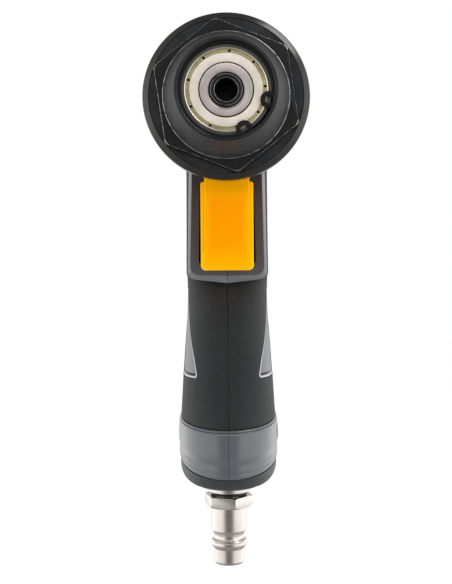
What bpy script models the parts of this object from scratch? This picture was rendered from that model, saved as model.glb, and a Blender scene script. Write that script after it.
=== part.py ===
"""Pistol-grip compressed-air drill body, built from the pieces it comes apart into.

+Y runs back along the spindle, +Z is up, and the origin is on the spindle axis at the floor of the
spindle's socket. Sizes are in millimetres, and MM turns them into metres where a mesh is made.
Three local frames are used, each with its own Z axis along the piece:
  spindle frame: heights run forward from the flange's front plane, so a height is minus a distance back
  handle frame: heights run up the leaning handle from the spindle's level
  plug frame: heights run up the air plug's axis from its tip
"""

import math

import bmesh
import bpy
from mathutils import Matrix

MM = 0.001
TURN = 2 * math.pi

# Gaps between pieces
FIT = 0.15
SEAM = 0.12
CLEAR = 0.3

# Facets round a piece
WIDE = 36
MEDIUM = 24
SMALL = 16
TINY = 8

# Frames
FLANGE_PLANE = 2.5
HANDLE_Y = 38.5
HANDLE_LEAN = math.radians(9.0)
PLUG_TIP = (0.0, 68.5, -144.6)
PLUG_LEAN = math.radians(7.0)

# Front housing: radii, and heights forward from the flange's front plane
NOSE_RADIUS = 14.4
NOSE_HEIGHT = 16.3
CONE_BASE_RADIUS = 18.0
HEX_ACROSS = 38.4
HEX_HEIGHT = 2.0
HEX_TURN = math.radians(8.43)
RIM_RADIUS = 24.0
RIM_INNER_RADIUS = 22.2
RIM_BEVEL = 1.6
FLANGE_BACK = -6.0
SPIGOT_RADIUS = 18.0
SPIGOT_BACK = -16.0
GEAR_CAVITY_RADIUS = 15.3

# Front bearing, 10 x 26 x 8 mm
BEARING_BORE = 5.0
BEARING_RADIUS = 13.0
BEARING_BACK = 5.8
BEARING_FRONT = 13.8
INNER_RING_RADIUS = 7.4
OUTER_RING_INNER_RADIUS = 11.3
BALL_RADIUS = 2.38
BALL_CIRCLE = 9.0
BALL_COUNT = 7
SHIELD_INSET = 0.6
SHIELD_THICKNESS = 0.45

# Circlip in the nose
CLIP_BACK = 14.05
CLIP_FRONT = 15.2
CLIP_RADIUS = 13.8
CLIP_INNER_RADIUS = 12.55
CLIP_EAR_ANGLES = (math.radians(-14.6), math.radians(-66.0))
CLIP_EAR_CIRCLE = 12.1
CLIP_EAR_RADIUS = 2.35
CLIP_HOLE_RADIUS = 1.3

# Spindle and planetary gears
SOCKET_RADIUS = 3.0
SEAT_HEIGHT = 2.5
SPINDLE_RADIUS = 4.85
SPINDLE_FRONT = 13.5
CARRIER_RADIUS = 12.5
CARRIER_FRONT = 3.6
CARRIER_BACK = -0.3
PIN_RADIUS = 1.5
MODULE = 0.7
SUN_TEETH = 12
PLANET_TEETH = 12
RING_TEETH = SUN_TEETH + 2 * PLANET_TEETH
PLANET_COUNT = 3
PLANET_CIRCLE = MODULE * (SUN_TEETH + PLANET_TEETH) / 2
GEAR_FRONT = -0.8
GEAR_BACK = -9.8
RING_GEAR_RADIUS = 15.0

# Vane motor: heights behind the flange
BORE_RADIUS = 16.5
MOTOR_RADIUS = 16.3
FRONT_PLATE = (-16.3, -23.3)
LINER = (-23.5, -63.5)
REAR_PLATE = (-63.7, -70.7)
LINER_BORE_RADIUS = 13.4
LINER_OFFSET = 1.0
ROTOR_RADIUS = 12.2
ROTOR_BODY = (-23.8, -63.2)
SHAFT_RADIUS = 2.85
COLLAR_RADIUS = 3.8
VANE_COUNT = 4
SLOT_WIDTH = 2.0
VANE_WIDTH = 1.7
SLOT_FLOOR = 5.3
VANE_TIP = 11.9

# Rotor bearings, 6 x 15 x 5 mm
SMALL_BORE = 3.0
SMALL_RADIUS = 7.5
SMALL_HALF_WIDTH = 2.5
SMALL_BALL_RADIUS = 1.15
SMALL_BALL_CIRCLE = 5.25
SMALL_BALL_COUNT = 5
FRONT_ROTOR_BEARING = -19.0
REAR_ROTOR_BEARING = -68.1

# Body casting
COLLAR_OUTER_RADIUS = 21.3
COLLAR_BACK = -18.3
BARREL_RADIUS = 18.7
BARREL_BACK = -76.0
BARREL_FLOOR = -72.0
COLUMN_HALF_WIDTH = 8.0
COLUMN_DEPTHS = (-10.0, 13.0)
COLUMN_FOOT = -104.0
VALVE_LEVEL = -36.0
VALVE_BORE_RADIUS = 5.0
VALVE_BORE_END = -58.6
INLET_RADIUS = 3.6
INLET_THREAD_RADIUS = 6.9

# Trigger
TRIGGER_FACE = -11.0
TRIGGER_TOP = -22.2
TRIGGER_FOOT = -49.6
TRIGGER_PAD_HALF = 6.6
TRIGGER_HALF = 7.6
TRIGGER_REAR = -24.0
STEM_RADIUS = 1.5

# Handle outline: height, half width, front depth, rear depth, squareness
HANDLE_STATIONS = (
    (-10.0, 12.8, 14.0, 23.0, 2.6),
    (-24.0, 12.9, 15.5, 22.0, 2.6),
    (-38.0, 13.0, 17.5, 22.6, 2.6),
    (-50.0, 12.9, 20.5, 24.0, 2.6),
    (-56.0, 12.9, 22.6, 24.6, 2.5),
    (-66.0, 13.3, 22.6, 24.8, 2.5),
    (-76.0, 13.8, 22.0, 24.0, 2.5),
    (-84.0, 14.2, 21.8, 23.2, 2.5),
    (-92.0, 14.7, 22.2, 22.8, 2.5),
    (-96.5, 15.0, 22.8, 23.0, 2.5),
)
BAND_STATIONS = (
    (-95.9, 15.3, 23.1, 23.3, 2.6),
    (-98.0, 15.6, 23.6, 23.8, 2.6),
    (-102.0, 15.75, 24.0, 24.2, 2.6),
    (-106.0, 15.6, 23.8, 24.0, 2.6),
    (-114.0, 15.1, 23.2, 23.3, 2.6),
)
CAP_STATIONS = (
    (-101.5, 15.3, 23.4, 23.6, 2.6),
    (-110.6, 15.2, 23.2, 23.4, 2.6),
    (-112.8, 14.9, 22.7, 23.0, 2.5),
    (-114.7, 13.8, 21.0, 21.4, 2.4),
    (-115.8, 12.0, 18.6, 19.0, 2.3),
    (-116.2, 9.6, 15.6, 16.0, 2.2),
)
BAND_TOP = -95.9
BAND_FOOT = -107.7
BAND_FOOT_LEAN = math.radians(8.7)
PLASTIC_STEP = 0.4
RUBBER_THICKNESS = 1.9
CORE_INSET = RUBBER_THICKNESS + CLEAR
NECK_WALL = 2.9
GRIP_WALL = 3.9
WALL_CHANGE = -51.0

# The plastic parts of the handle's side, as distance back and height
SIDE_PANEL = (
    (10.0, -54.4),
    (37.2, -54.4),
    (35.2, -68.3),
    (33.6, -76.5),
    (33.4, -81.6),
    (34.4, -82.4),
    (53.0, -81.4),
    (54.4, -80.2),
    (57.0, -66.0),
    (58.2, -54.0),
    (58.8, -40.0),
    (60.5, -30.0),
    (64.0, -25.5),
    (90.0, -24.5),
    (90.0, 10.0),
    (10.0, 10.0),
)

# Shell screws: distance back, height, where the head sits and where the tip ends across the tool
SHELL_SCREWS = (
    (45.9, -65.7, 10.3, -11.7),
    (51.3, -100.2, 11.6, -13.2),
    (61.0, -24.0, 6.4, -7.6),
    (80.0, 0.0, 12.0, -10.0),
)
HEAD_RADIUS = 2.5
HEAD_DEPTH = 1.9
SCREW_RADIUS = 1.3
CAP_SCREW_SPOTS = ((-5.5, -6.0), (5.5, -6.0))

COLORS = {
    "black_steel": ((0.022, 0.023, 0.024), 0.35, 1.0),
    "bright_steel": ((0.46, 0.44, 0.43), 0.28, 1.0),
    "zinc_shield": ((0.74, 0.71, 0.60), 0.40, 1.0),
    "clip_steel": ((0.012, 0.012, 0.013), 0.40, 1.0),
    "aluminium": ((0.42, 0.43, 0.44), 0.42, 1.0),
    "grey_plastic": ((0.15, 0.15, 0.165), 0.38, 0.0),
    "soft_rubber": ((0.037, 0.040, 0.042), 0.75, 0.0),
    "black_plastic": ((0.050, 0.054, 0.058), 0.55, 0.0),
    "orange_plastic": ((1.0, 0.39, 0.0), 0.35, 0.0),
    "brass": ((0.60, 0.42, 0.16), 0.35, 1.0),
    "nickel": ((0.75, 0.71, 0.67), 0.16, 1.0),
    "seal_rubber": ((0.015, 0.015, 0.015), 0.65, 0.0),
    "cage_nylon": ((0.34, 0.25, 0.12), 0.60, 0.0),
    "vane_fibre": ((0.13, 0.075, 0.035), 0.70, 0.0),
    "felt": ((0.42, 0.41, 0.38), 0.95, 0.0),
    "gasket_paper": ((0.10, 0.13, 0.09), 0.85, 0.0),
}


# ---------------------------------------------------------------- frames, materials and mesh makers


def shift(x, y, z):
    return Matrix.Translation((x * MM, y * MM, z * MM))


def spindle_frame(x=0.0, z=0.0):
    """Local X and Y are the world's X and Z, and local Z points forward, to the world's -Y."""
    return shift(x, FLANGE_PLANE, z) @ Matrix.Rotation(TURN / 4, 4, "X")


def handle_frame():
    return shift(0.0, FLANGE_PLANE + HANDLE_Y, 0.0) @ Matrix.Rotation(HANDLE_LEAN, 4, "X")


def plug_frame():
    x, y, z = PLUG_TIP
    return shift(x, FLANGE_PLANE + y, z) @ Matrix.Rotation(PLUG_LEAN, 4, "X")


def across_frame(back, height):
    """Local Z points to the world's +X, through a place on the tool's side."""
    return shift(0.0, FLANGE_PLANE + back, height) @ Matrix.Rotation(TURN / 4, 4, "Y")


def side_frame():
    """Local X is the distance back, local Y is the height, and local Z points to the world's +X."""
    swap = Matrix(((0, 0, 1, 0), (1, 0, 0, 0), (0, 1, 0, 0), (0, 0, 0, 1)))
    return shift(0.0, FLANGE_PLANE, 0.0) @ swap


def upright_frame(back):
    return shift(0.0, FLANGE_PLANE + back, 0.0)


def make_material(name):
    color, roughness, metallic = COLORS[name]
    material = bpy.data.materials.new(name)
    material.use_nodes = True
    shader = material.node_tree.nodes["Principled BSDF"]
    shader.inputs["Base Color"].default_value = (*color, 1.0)
    shader.inputs["Roughness"].default_value = roughness
    shader.inputs["Metallic"].default_value = metallic
    return material


def make_object(name, bm, matrix, material):
    """Turns a bmesh into a placed object. A piece with no material is a hidden cutter or guide."""
    bmesh.ops.recalc_face_normals(bm, faces=bm.faces)
    mesh = bpy.data.meshes.new(name)
    bm.to_mesh(mesh)
    bm.free()
    mesh.shade_smooth()
    mesh.set_sharp_from_angle(angle=math.radians(32))
    obj = bpy.data.objects.new(name, mesh)
    bpy.context.scene.collection.objects.link(obj)
    obj.matrix_world = matrix
    if material:
        mesh.materials.append(MATERIALS[material])
    else:
        obj.hide_render = True
        obj.display_type = "WIRE"
    return obj


def turned(name, outline, sides, matrix, material=None):
    """Spins an outline of (radius, height) round Z. An outline that starts and ends on the axis is solid."""
    bm = bmesh.new()
    points = [bm.verts.new((radius * MM, 0.0, height * MM)) for radius, height in outline]
    edges = [bm.edges.new(pair) for pair in zip(points, points[1:])]
    if outline[0][0] > 0:
        edges.append(bm.edges.new((points[-1], points[0])))
    geometry = points + edges
    bmesh.ops.spin(bm, geom=geometry, cent=(0, 0, 0), axis=(0, 0, 1), angle=TURN, steps=sides, use_merge=True)
    bmesh.ops.remove_doubles(bm, verts=bm.verts, dist=0.001 * MM)
    return make_object(name, bm, matrix, material)


def rod_outline(radius, low, high):
    return ((0.0, low), (radius, low), (radius, high), (0.0, high))


def ring_outline(inner, outer, low, high):
    return ((inner, low), (outer, low), (outer, high), (inner, high))


def rod(name, radius, low, high, sides, matrix, material=None):
    return turned(name, rod_outline(radius, low, high), sides, matrix, material)


def add_prism(bm, outline, low, high):
    floor = [bm.verts.new((x * MM, y * MM, low * MM)) for x, y in outline]
    roof = [bm.verts.new((x * MM, y * MM, high * MM)) for x, y in outline]
    bm.faces.new(floor)
    bm.faces.new(roof)
    count = len(outline)
    for i in range(count):
        following = (i + 1) % count
        bm.faces.new((floor[i], floor[following], roof[following], roof[i]))


def prism(name, outline, low, high, matrix, material=None):
    bm = bmesh.new()
    add_prism(bm, outline, low, high)
    return make_object(name, bm, matrix, material)


def rectangle(left, right, bottom, top, corner=0.0):
    """A rectangle's outline, with its corners cut off when corner is above 0."""
    if corner <= 0:
        return ((left, bottom), (right, bottom), (right, top), (left, top))
    return (
        (left + corner, bottom),
        (right - corner, bottom),
        (right, bottom + corner),
        (right, top - corner),
        (right - corner, top),
        (left + corner, top),
        (left, top - corner),
        (left, bottom + corner),
    )


def loft(name, rings, matrix, material=None):
    """Skins closed rings of equal point count, and closes both ends."""
    bm = bmesh.new()
    loops = [[bm.verts.new([value * MM for value in point]) for point in ring] for ring in rings]
    count = len(rings[0])
    for lower, upper in zip(loops, loops[1:]):
        for i in range(count):
            following = (i + 1) % count
            bm.faces.new((lower[i], lower[following], upper[following], upper[i]))
    bm.faces.new(loops[0])
    bm.faces.new(loops[-1])
    return make_object(name, bm, matrix, material)


def oval_ring(height, half_width, front, rear, squareness, sides=WIDE):
    """A rounded-square ring, wider than deep or deeper than wide, round the local Z axis."""
    ring = []
    power = 2 / squareness
    for i in range(sides):
        angle = TURN * i / sides
        across = math.copysign(abs(math.cos(angle)) ** power, math.cos(angle))
        along = math.copysign(abs(math.sin(angle)) ** power, math.sin(angle))
        depth = rear if along > 0 else front
        ring.append((half_width * across, depth * along, height))
    return ring


def oval_loft(name, stations, inset, matrix, material=None):
    """A loft through stations, shrunk by an inset that may depend on the height."""
    rings = []
    for height, half_width, front, rear, squareness in stations:
        thickness = inset(height) if callable(inset) else inset
        ring = oval_ring(height, half_width - thickness, front - thickness, rear - thickness, squareness)
        rings.append(ring)
    return loft(name, rings, matrix, material)


def boolean(obj, other, operation="DIFFERENCE", solver="EXACT"):
    modifier = obj.modifiers.new(other.name, "BOOLEAN")
    modifier.operation = operation
    modifier.object = other
    modifier.solver = solver


def cut(obj, *cutters):
    for cutter in cutters:
        boolean(obj, cutter)


def grown(outline, distance):
    """Moves every side of a clockwise or anticlockwise outline outward by a distance."""
    area = sum(x0 * y1 - x1 * y0 for (x0, y0), (x1, y1) in zip(outline, outline[1:] + outline[:1]))
    sign = math.copysign(1.0, area)
    moved = []
    for i, (x, y) in enumerate(outline):
        before = outline[i - 1]
        after = outline[(i + 1) % len(outline)]
        normals = []
        for (x0, y0), (x1, y1) in ((before, (x, y)), ((x, y), after)):
            length = math.hypot(x1 - x0, y1 - y0)
            normals.append((sign * (y1 - y0) / length, sign * (x0 - x1) / length))
        mean_x = normals[0][0] + normals[1][0]
        mean_y = normals[0][1] + normals[1][1]
        scale = 2 * distance / (mean_x**2 + mean_y**2)
        moved.append((x + mean_x * scale, y + mean_y * scale))
    return tuple(moved)


# ---------------------------------------------------------------- front housing, clip and bearing


def build_front_housing():
    frame = spindle_frame()
    outline = (
        (BEARING_RADIUS + CLEAR, NOSE_HEIGHT - 0.3),
        (BEARING_RADIUS + 0.6, NOSE_HEIGHT),
        (NOSE_RADIUS - 0.3, NOSE_HEIGHT),
        (NOSE_RADIUS, NOSE_HEIGHT - 0.3),
        (CONE_BASE_RADIUS, HEX_HEIGHT),
        (CONE_BASE_RADIUS, 0.0),
        (RIM_INNER_RADIUS, 0.0),
        (RIM_RADIUS, -RIM_BEVEL),
        (RIM_RADIUS, FLANGE_BACK + 0.5),
        (RIM_RADIUS - 0.5, FLANGE_BACK),
        (SPIGOT_RADIUS, FLANGE_BACK),
        (SPIGOT_RADIUS, SPIGOT_BACK),
        (GEAR_CAVITY_RADIUS, SPIGOT_BACK),
        (GEAR_CAVITY_RADIUS, BEARING_BACK - 1.9),
        (OUTER_RING_INNER_RADIUS + 0.1, BEARING_BACK - 1.9),
        (OUTER_RING_INNER_RADIUS + 0.1, BEARING_BACK - 0.2),
        (BEARING_RADIUS + CLEAR, BEARING_BACK - 0.2),
        (BEARING_RADIUS + CLEAR, CLIP_BACK - 0.1),
        (CLIP_RADIUS + 0.2, CLIP_BACK - 0.1),
        (CLIP_RADIUS + 0.2, CLIP_FRONT + 0.1),
        (BEARING_RADIUS + CLEAR, CLIP_FRONT + 0.1),
    )
    housing = turned("front_housing", outline, WIDE, frame, "black_steel")
    corner = HEX_ACROSS / 2 / math.cos(TURN / 12)
    corners = [HEX_TURN + TURN * (i + 0.5) / 6 for i in range(6)]
    hexagon = [(corner * math.cos(angle), corner * math.sin(angle)) for angle in corners]
    nut = prism("guide_hexagon", hexagon, -1.0, HEX_HEIGHT, frame)
    cut(nut, rod("cut_hexagon_core", CONE_BASE_RADIUS - 1.5, -3.0, 6.0, MEDIUM, frame))
    edge = RIM_INNER_RADIUS + 0.4
    chamfer = ((0.0, -2.0), (edge, -2.0), (edge, 1.2), (21.8, 2.4), (0.0, 2.4))
    boolean(nut, turned("cut_hexagon_chamfer", chamfer, WIDE, frame), "INTERSECT")
    boolean(housing, nut, "UNION")


def build_circlip():
    frame = spindle_frame()
    first, last = CLIP_EAR_ANGLES
    steps = 28
    sweep = TURN + last - first
    angles = [first + sweep * i / steps for i in range(steps + 1)]
    outer = [((CLIP_RADIUS + 0.4) * math.cos(a), (CLIP_RADIUS + 0.4) * math.sin(a)) for a in angles]
    inner = [(CLIP_INNER_RADIUS * math.cos(a), CLIP_INNER_RADIUS * math.sin(a)) for a in reversed(angles)]
    clip = prism("front_circlip", outer + inner, CLIP_BACK, CLIP_FRONT, frame, "clip_steel")
    for i, angle in enumerate(CLIP_EAR_ANGLES):
        spot = frame @ shift(CLIP_EAR_CIRCLE * math.cos(angle), CLIP_EAR_CIRCLE * math.sin(angle), 0.0)
        ear = rod(f"guide_clip_ear_{i}", CLIP_EAR_RADIUS, CLIP_BACK, CLIP_FRONT, SMALL, spot)
        boolean(clip, ear, "UNION")
    boolean(clip, rod("cut_clip_rim", CLIP_RADIUS, CLIP_BACK - 1, CLIP_FRONT + 1, WIDE, frame), "INTERSECT")
    for i, angle in enumerate(CLIP_EAR_ANGLES):
        spot = frame @ shift(CLIP_EAR_CIRCLE * math.cos(angle), CLIP_EAR_CIRCLE * math.sin(angle), 0.0)
        cut(clip, rod(f"cut_clip_hole_{i}", CLIP_HOLE_RADIUS, CLIP_BACK - 1, CLIP_FRONT + 1, TINY, spot))


def grooved_ring(flat, back, groove, half_width, groove_half, chamfer):
    """A bearing ring's outline: flat is the radius that faces the balls, back the radius that is seated."""
    step = math.copysign(chamfer, flat - back)
    return (
        (back, half_width - chamfer),
        (back + step, half_width),
        (flat, half_width),
        (flat, groove_half),
        (groove, groove_half * 0.26),
        (groove, -groove_half * 0.26),
        (flat, -groove_half),
        (flat, -half_width),
        (back + step, -half_width),
        (back, chamfer - half_width),
    )


def spots_round(circle, count, start=0.0):
    angles = [start + TURN * i / count for i in range(count)]
    return [(circle * math.cos(angle), circle * math.sin(angle)) for angle in angles]


def ball_ring(name, radius, circle, count, matrix):
    """A guide that holds all of a bearing's balls."""
    bm = bmesh.new()
    for x, y in spots_round(circle, count):
        bmesh.ops.create_icosphere(bm, subdivisions=2, radius=radius * MM, matrix=shift(x, y, 0.0))
    return make_object(name, bm, matrix, None)


def build_front_bearing():
    middle = (BEARING_BACK + BEARING_FRONT) / 2
    half = (BEARING_FRONT - BEARING_BACK) / 2
    frame = spindle_frame() @ shift(0.0, 0.0, middle)
    outer = grooved_ring(OUTER_RING_INNER_RADIUS, BEARING_RADIUS, 11.5, half, 1.2, 0.35)
    inner = grooved_ring(INNER_RING_RADIUS, BEARING_BORE, 6.5, half, 2.1, 0.5)
    turned("front_bearing_outer_ring", outer, WIDE, frame, "bright_steel")
    turned("front_bearing_inner_ring", inner, MEDIUM, frame, "bright_steel")
    for i, (x, y) in enumerate(spots_round(BALL_CIRCLE, BALL_COUNT)):
        bm = bmesh.new()
        bmesh.ops.create_icosphere(bm, subdivisions=2, radius=BALL_RADIUS * MM)
        make_object(f"front_bearing_ball_{i + 1}", bm, frame @ shift(x, y, 0.0), "bright_steel")
    cage = turned("front_bearing_cage", ring_outline(8.1, 9.9, -1.0, 2.8), MEDIUM, frame, "cage_nylon")
    cut(cage, ball_ring("cut_ball_pockets", BALL_RADIUS + FIT, BALL_CIRCLE, BALL_COUNT, frame))
    top = half - SHIELD_INSET
    inner_edge = INNER_RING_RADIUS + 0.35
    shield = ring_outline(inner_edge, OUTER_RING_INNER_RADIUS - FIT, top - SHIELD_THICKNESS, top)
    turned("front_bearing_front_shield", shield, WIDE, frame, "zinc_shield")
    mirrored = [(radius, -height) for radius, height in shield]
    turned("front_bearing_rear_shield", mirrored, MEDIUM, frame, "zinc_shield")


# ---------------------------------------------------------------- spindle and gears


def gear_outline(teeth, root, tip, root_share, tip_share, phase):
    """Straight-flanked teeth. The shares are half a tooth's width at its root and tip, in tooth pitches."""
    pitch = TURN / teeth
    points = []
    for i in range(teeth):
        middle = phase + i * pitch
        for radius, share in ((root, -root_share), (tip, -tip_share), (tip, tip_share), (root, root_share)):
            angle = middle + share * pitch
            points.append((radius * math.cos(angle), radius * math.sin(angle)))
    return points


def external_gear(teeth, phase):
    pitch_radius = MODULE * teeth / 2
    return gear_outline(teeth, pitch_radius - 1.25 * MODULE, pitch_radius + 0.9 * MODULE, 0.32, 0.11, phase)


def build_spindle():
    frame = spindle_frame()
    outline = (
        (0.0, SEAT_HEIGHT),
        (SOCKET_RADIUS, SEAT_HEIGHT),
        (SOCKET_RADIUS, SPINDLE_FRONT - 0.4),
        (SOCKET_RADIUS + 0.4, SPINDLE_FRONT),
        (SPINDLE_RADIUS - 0.4, SPINDLE_FRONT),
        (SPINDLE_RADIUS, SPINDLE_FRONT - 0.4),
        (SPINDLE_RADIUS, BEARING_BACK - 0.2),
        (INNER_RING_RADIUS - 0.4, BEARING_BACK - 0.2),
        (INNER_RING_RADIUS - 0.4, CARRIER_FRONT),
        (CARRIER_RADIUS, CARRIER_FRONT),
        (CARRIER_RADIUS, CARRIER_BACK),
        (0.0, CARRIER_BACK),
    )
    spindle = turned("spindle", outline, MEDIUM, frame, "black_steel")
    for i, (x, y) in enumerate(spots_round(PLANET_CIRCLE, PLANET_COUNT, TURN / 4)):
        spot = frame @ shift(x, y, 0.0)
        low, high = GEAR_BACK - 0.4, CARRIER_FRONT - 0.2
        rod(f"planet_pin_{i + 1}", PIN_RADIUS, low, high, TINY, spot, "bright_steel")
        low, high = CARRIER_BACK - 1, CARRIER_FRONT + 1
        cut(spindle, rod(f"cut_pin_hole_{i}", PIN_RADIUS + FIT, low, high, TINY, spot))


def build_gears():
    """At rest a sun tooth and a ring tooth point along each planet's spoke, at gaps in the planet's teeth."""
    frame = spindle_frame()
    for i, (x, y) in enumerate(spots_round(PLANET_CIRCLE, PLANET_COUNT, TURN / 4)):
        spot = frame @ shift(x, y, 0.0)
        spoke = math.atan2(y, x)
        outline = external_gear(PLANET_TEETH, spoke + TURN / PLANET_TEETH / 2)
        planet = prism(f"planet_gear_{i + 1}", outline, GEAR_BACK, GEAR_FRONT, spot, "bright_steel")
        low, high = GEAR_BACK - 1, GEAR_FRONT + 1
        cut(planet, rod(f"cut_planet_bore_{i + 1}", PIN_RADIUS + FIT, low, high, TINY, spot))
    pitch_radius = MODULE * RING_TEETH / 2
    root = pitch_radius + 1.25 * MODULE
    tip = pitch_radius - 0.9 * MODULE
    teeth = gear_outline(RING_TEETH, root, tip, 0.32, 0.13, TURN / 4)
    outline = rod_outline(RING_GEAR_RADIUS, GEAR_BACK - 0.2, GEAR_FRONT + 0.2)
    ring = turned("ring_gear", outline, WIDE, frame, "bright_steel")
    cut(ring, prism("cut_ring_teeth", teeth, GEAR_BACK - 1, GEAR_FRONT + 1, frame))


# ---------------------------------------------------------------- vane motor


def vane_outline(index, width, inner, outer):
    angle = TURN / 4 + TURN * index / VANE_COUNT
    outline = []
    for along, across in rectangle(inner, outer, -width / 2, width / 2):
        x = along * math.cos(angle) - across * math.sin(angle)
        y = along * math.sin(angle) + across * math.cos(angle)
        outline.append((x, y))
    return outline


def build_rotor():
    frame = spindle_frame()
    front, back = ROTOR_BODY
    outline = (
        (0.0, GEAR_FRONT - 0.4),
        (SHAFT_RADIUS, GEAR_FRONT - 0.4),
        (SHAFT_RADIUS, FRONT_ROTOR_BEARING - 2.8),
        (COLLAR_RADIUS, FRONT_ROTOR_BEARING - 2.8),
        (COLLAR_RADIUS, front),
        (ROTOR_RADIUS, front),
        (ROTOR_RADIUS, back),
        (COLLAR_RADIUS, back),
        (COLLAR_RADIUS, REAR_ROTOR_BEARING + 2.8),
        (SHAFT_RADIUS, REAR_ROTOR_BEARING + 2.8),
        (SHAFT_RADIUS, REAR_ROTOR_BEARING - 2.2),
        (0.0, REAR_ROTOR_BEARING - 2.2),
    )
    rotor = turned("rotor", outline, MEDIUM, frame, "bright_steel")
    pinion = external_gear(SUN_TEETH, TURN / 4)
    boolean(rotor, prism("guide_sun_pinion", pinion, GEAR_BACK - 0.5, GEAR_FRONT, frame), "UNION")
    for i in range(VANE_COUNT):
        slot = vane_outline(i, SLOT_WIDTH, SLOT_FLOOR, ROTOR_RADIUS + 2)
        cut(rotor, prism(f"cut_vane_slot_{i}", slot, back - 0.5, front + 0.5, frame))
        vane = vane_outline(i, VANE_WIDTH, SLOT_FLOOR + 0.2, VANE_TIP)
        prism(f"rotor_vane_{i + 1}", vane, back + 0.2, front - 0.2, frame, "vane_fibre")


def build_rotor_bearing(side, height):
    frame = spindle_frame() @ shift(0.0, 0.0, height)
    outer = grooved_ring(6.0, SMALL_RADIUS, 6.55, SMALL_HALF_WIDTH, 1.15, 0.3)
    inner = grooved_ring(4.45, SMALL_BORE, 3.95, SMALL_HALF_WIDTH, 1.15, 0.3)
    turned(f"rotor_{side}_bearing_outer_ring", outer, SMALL, frame, "bright_steel")
    turned(f"rotor_{side}_bearing_inner_ring", inner, SMALL, frame, "bright_steel")
    cage = ring_outline(SMALL_BALL_CIRCLE - 0.5, SMALL_BALL_CIRCLE + 0.5, -0.45, 0.45)
    balls = turned(f"rotor_{side}_bearing_ball_cage", cage, SMALL, frame, "bright_steel")
    name = f"guide_{side}_bearing_balls"
    boolean(balls, ball_ring(name, SMALL_BALL_RADIUS, SMALL_BALL_CIRCLE, SMALL_BALL_COUNT, frame), "UNION")


def build_motor_case():
    frame = spindle_frame()
    front, back = FRONT_PLATE
    pocket = FRONT_ROTOR_BEARING - SMALL_HALF_WIDTH - 0.2
    outline = (
        (SMALL_RADIUS + FIT, front),
        (MOTOR_RADIUS, front),
        (MOTOR_RADIUS, back),
        (COLLAR_RADIUS + 0.4, back),
        (COLLAR_RADIUS + 0.4, pocket),
        (SMALL_RADIUS + FIT, pocket),
    )
    turned("motor_front_plate", outline, WIDE, frame, "aluminium")
    front, back = REAR_PLATE
    pocket = REAR_ROTOR_BEARING + SMALL_HALF_WIDTH + 0.2
    outline = (
        (COLLAR_RADIUS + 0.4, front),
        (MOTOR_RADIUS, front),
        (MOTOR_RADIUS, back),
        (SMALL_RADIUS + FIT, back),
        (SMALL_RADIUS + FIT, pocket),
        (COLLAR_RADIUS + 0.4, pocket),
    )
    turned("motor_rear_plate", outline, WIDE, frame, "aluminium")
    front, back = LINER
    liner = rod("cylinder_liner", MOTOR_RADIUS, back, front, WIDE, frame, "bright_steel")
    bore = frame @ shift(0.0, -LINER_OFFSET, 0.0)
    cut(liner, rod("cut_liner_bore", LINER_BORE_RADIUS, back - 1, front + 1, WIDE, bore))
    for i, place in enumerate((-32.0, -42.0, -52.0)):
        port = rectangle(-4.0, 4.0, -20.0, -10.0)
        cut(liner, prism(f"cut_liner_port_{i}", port, place - 1.5, place + 1.5, frame))
    gasket = ring_outline(11.0, MOTOR_RADIUS - 0.3, BARREL_FLOOR + 0.3, back - 7.5)
    turned("motor_gasket", gasket, MEDIUM, frame, "gasket_paper")


# ---------------------------------------------------------------- body casting and valve


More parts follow.
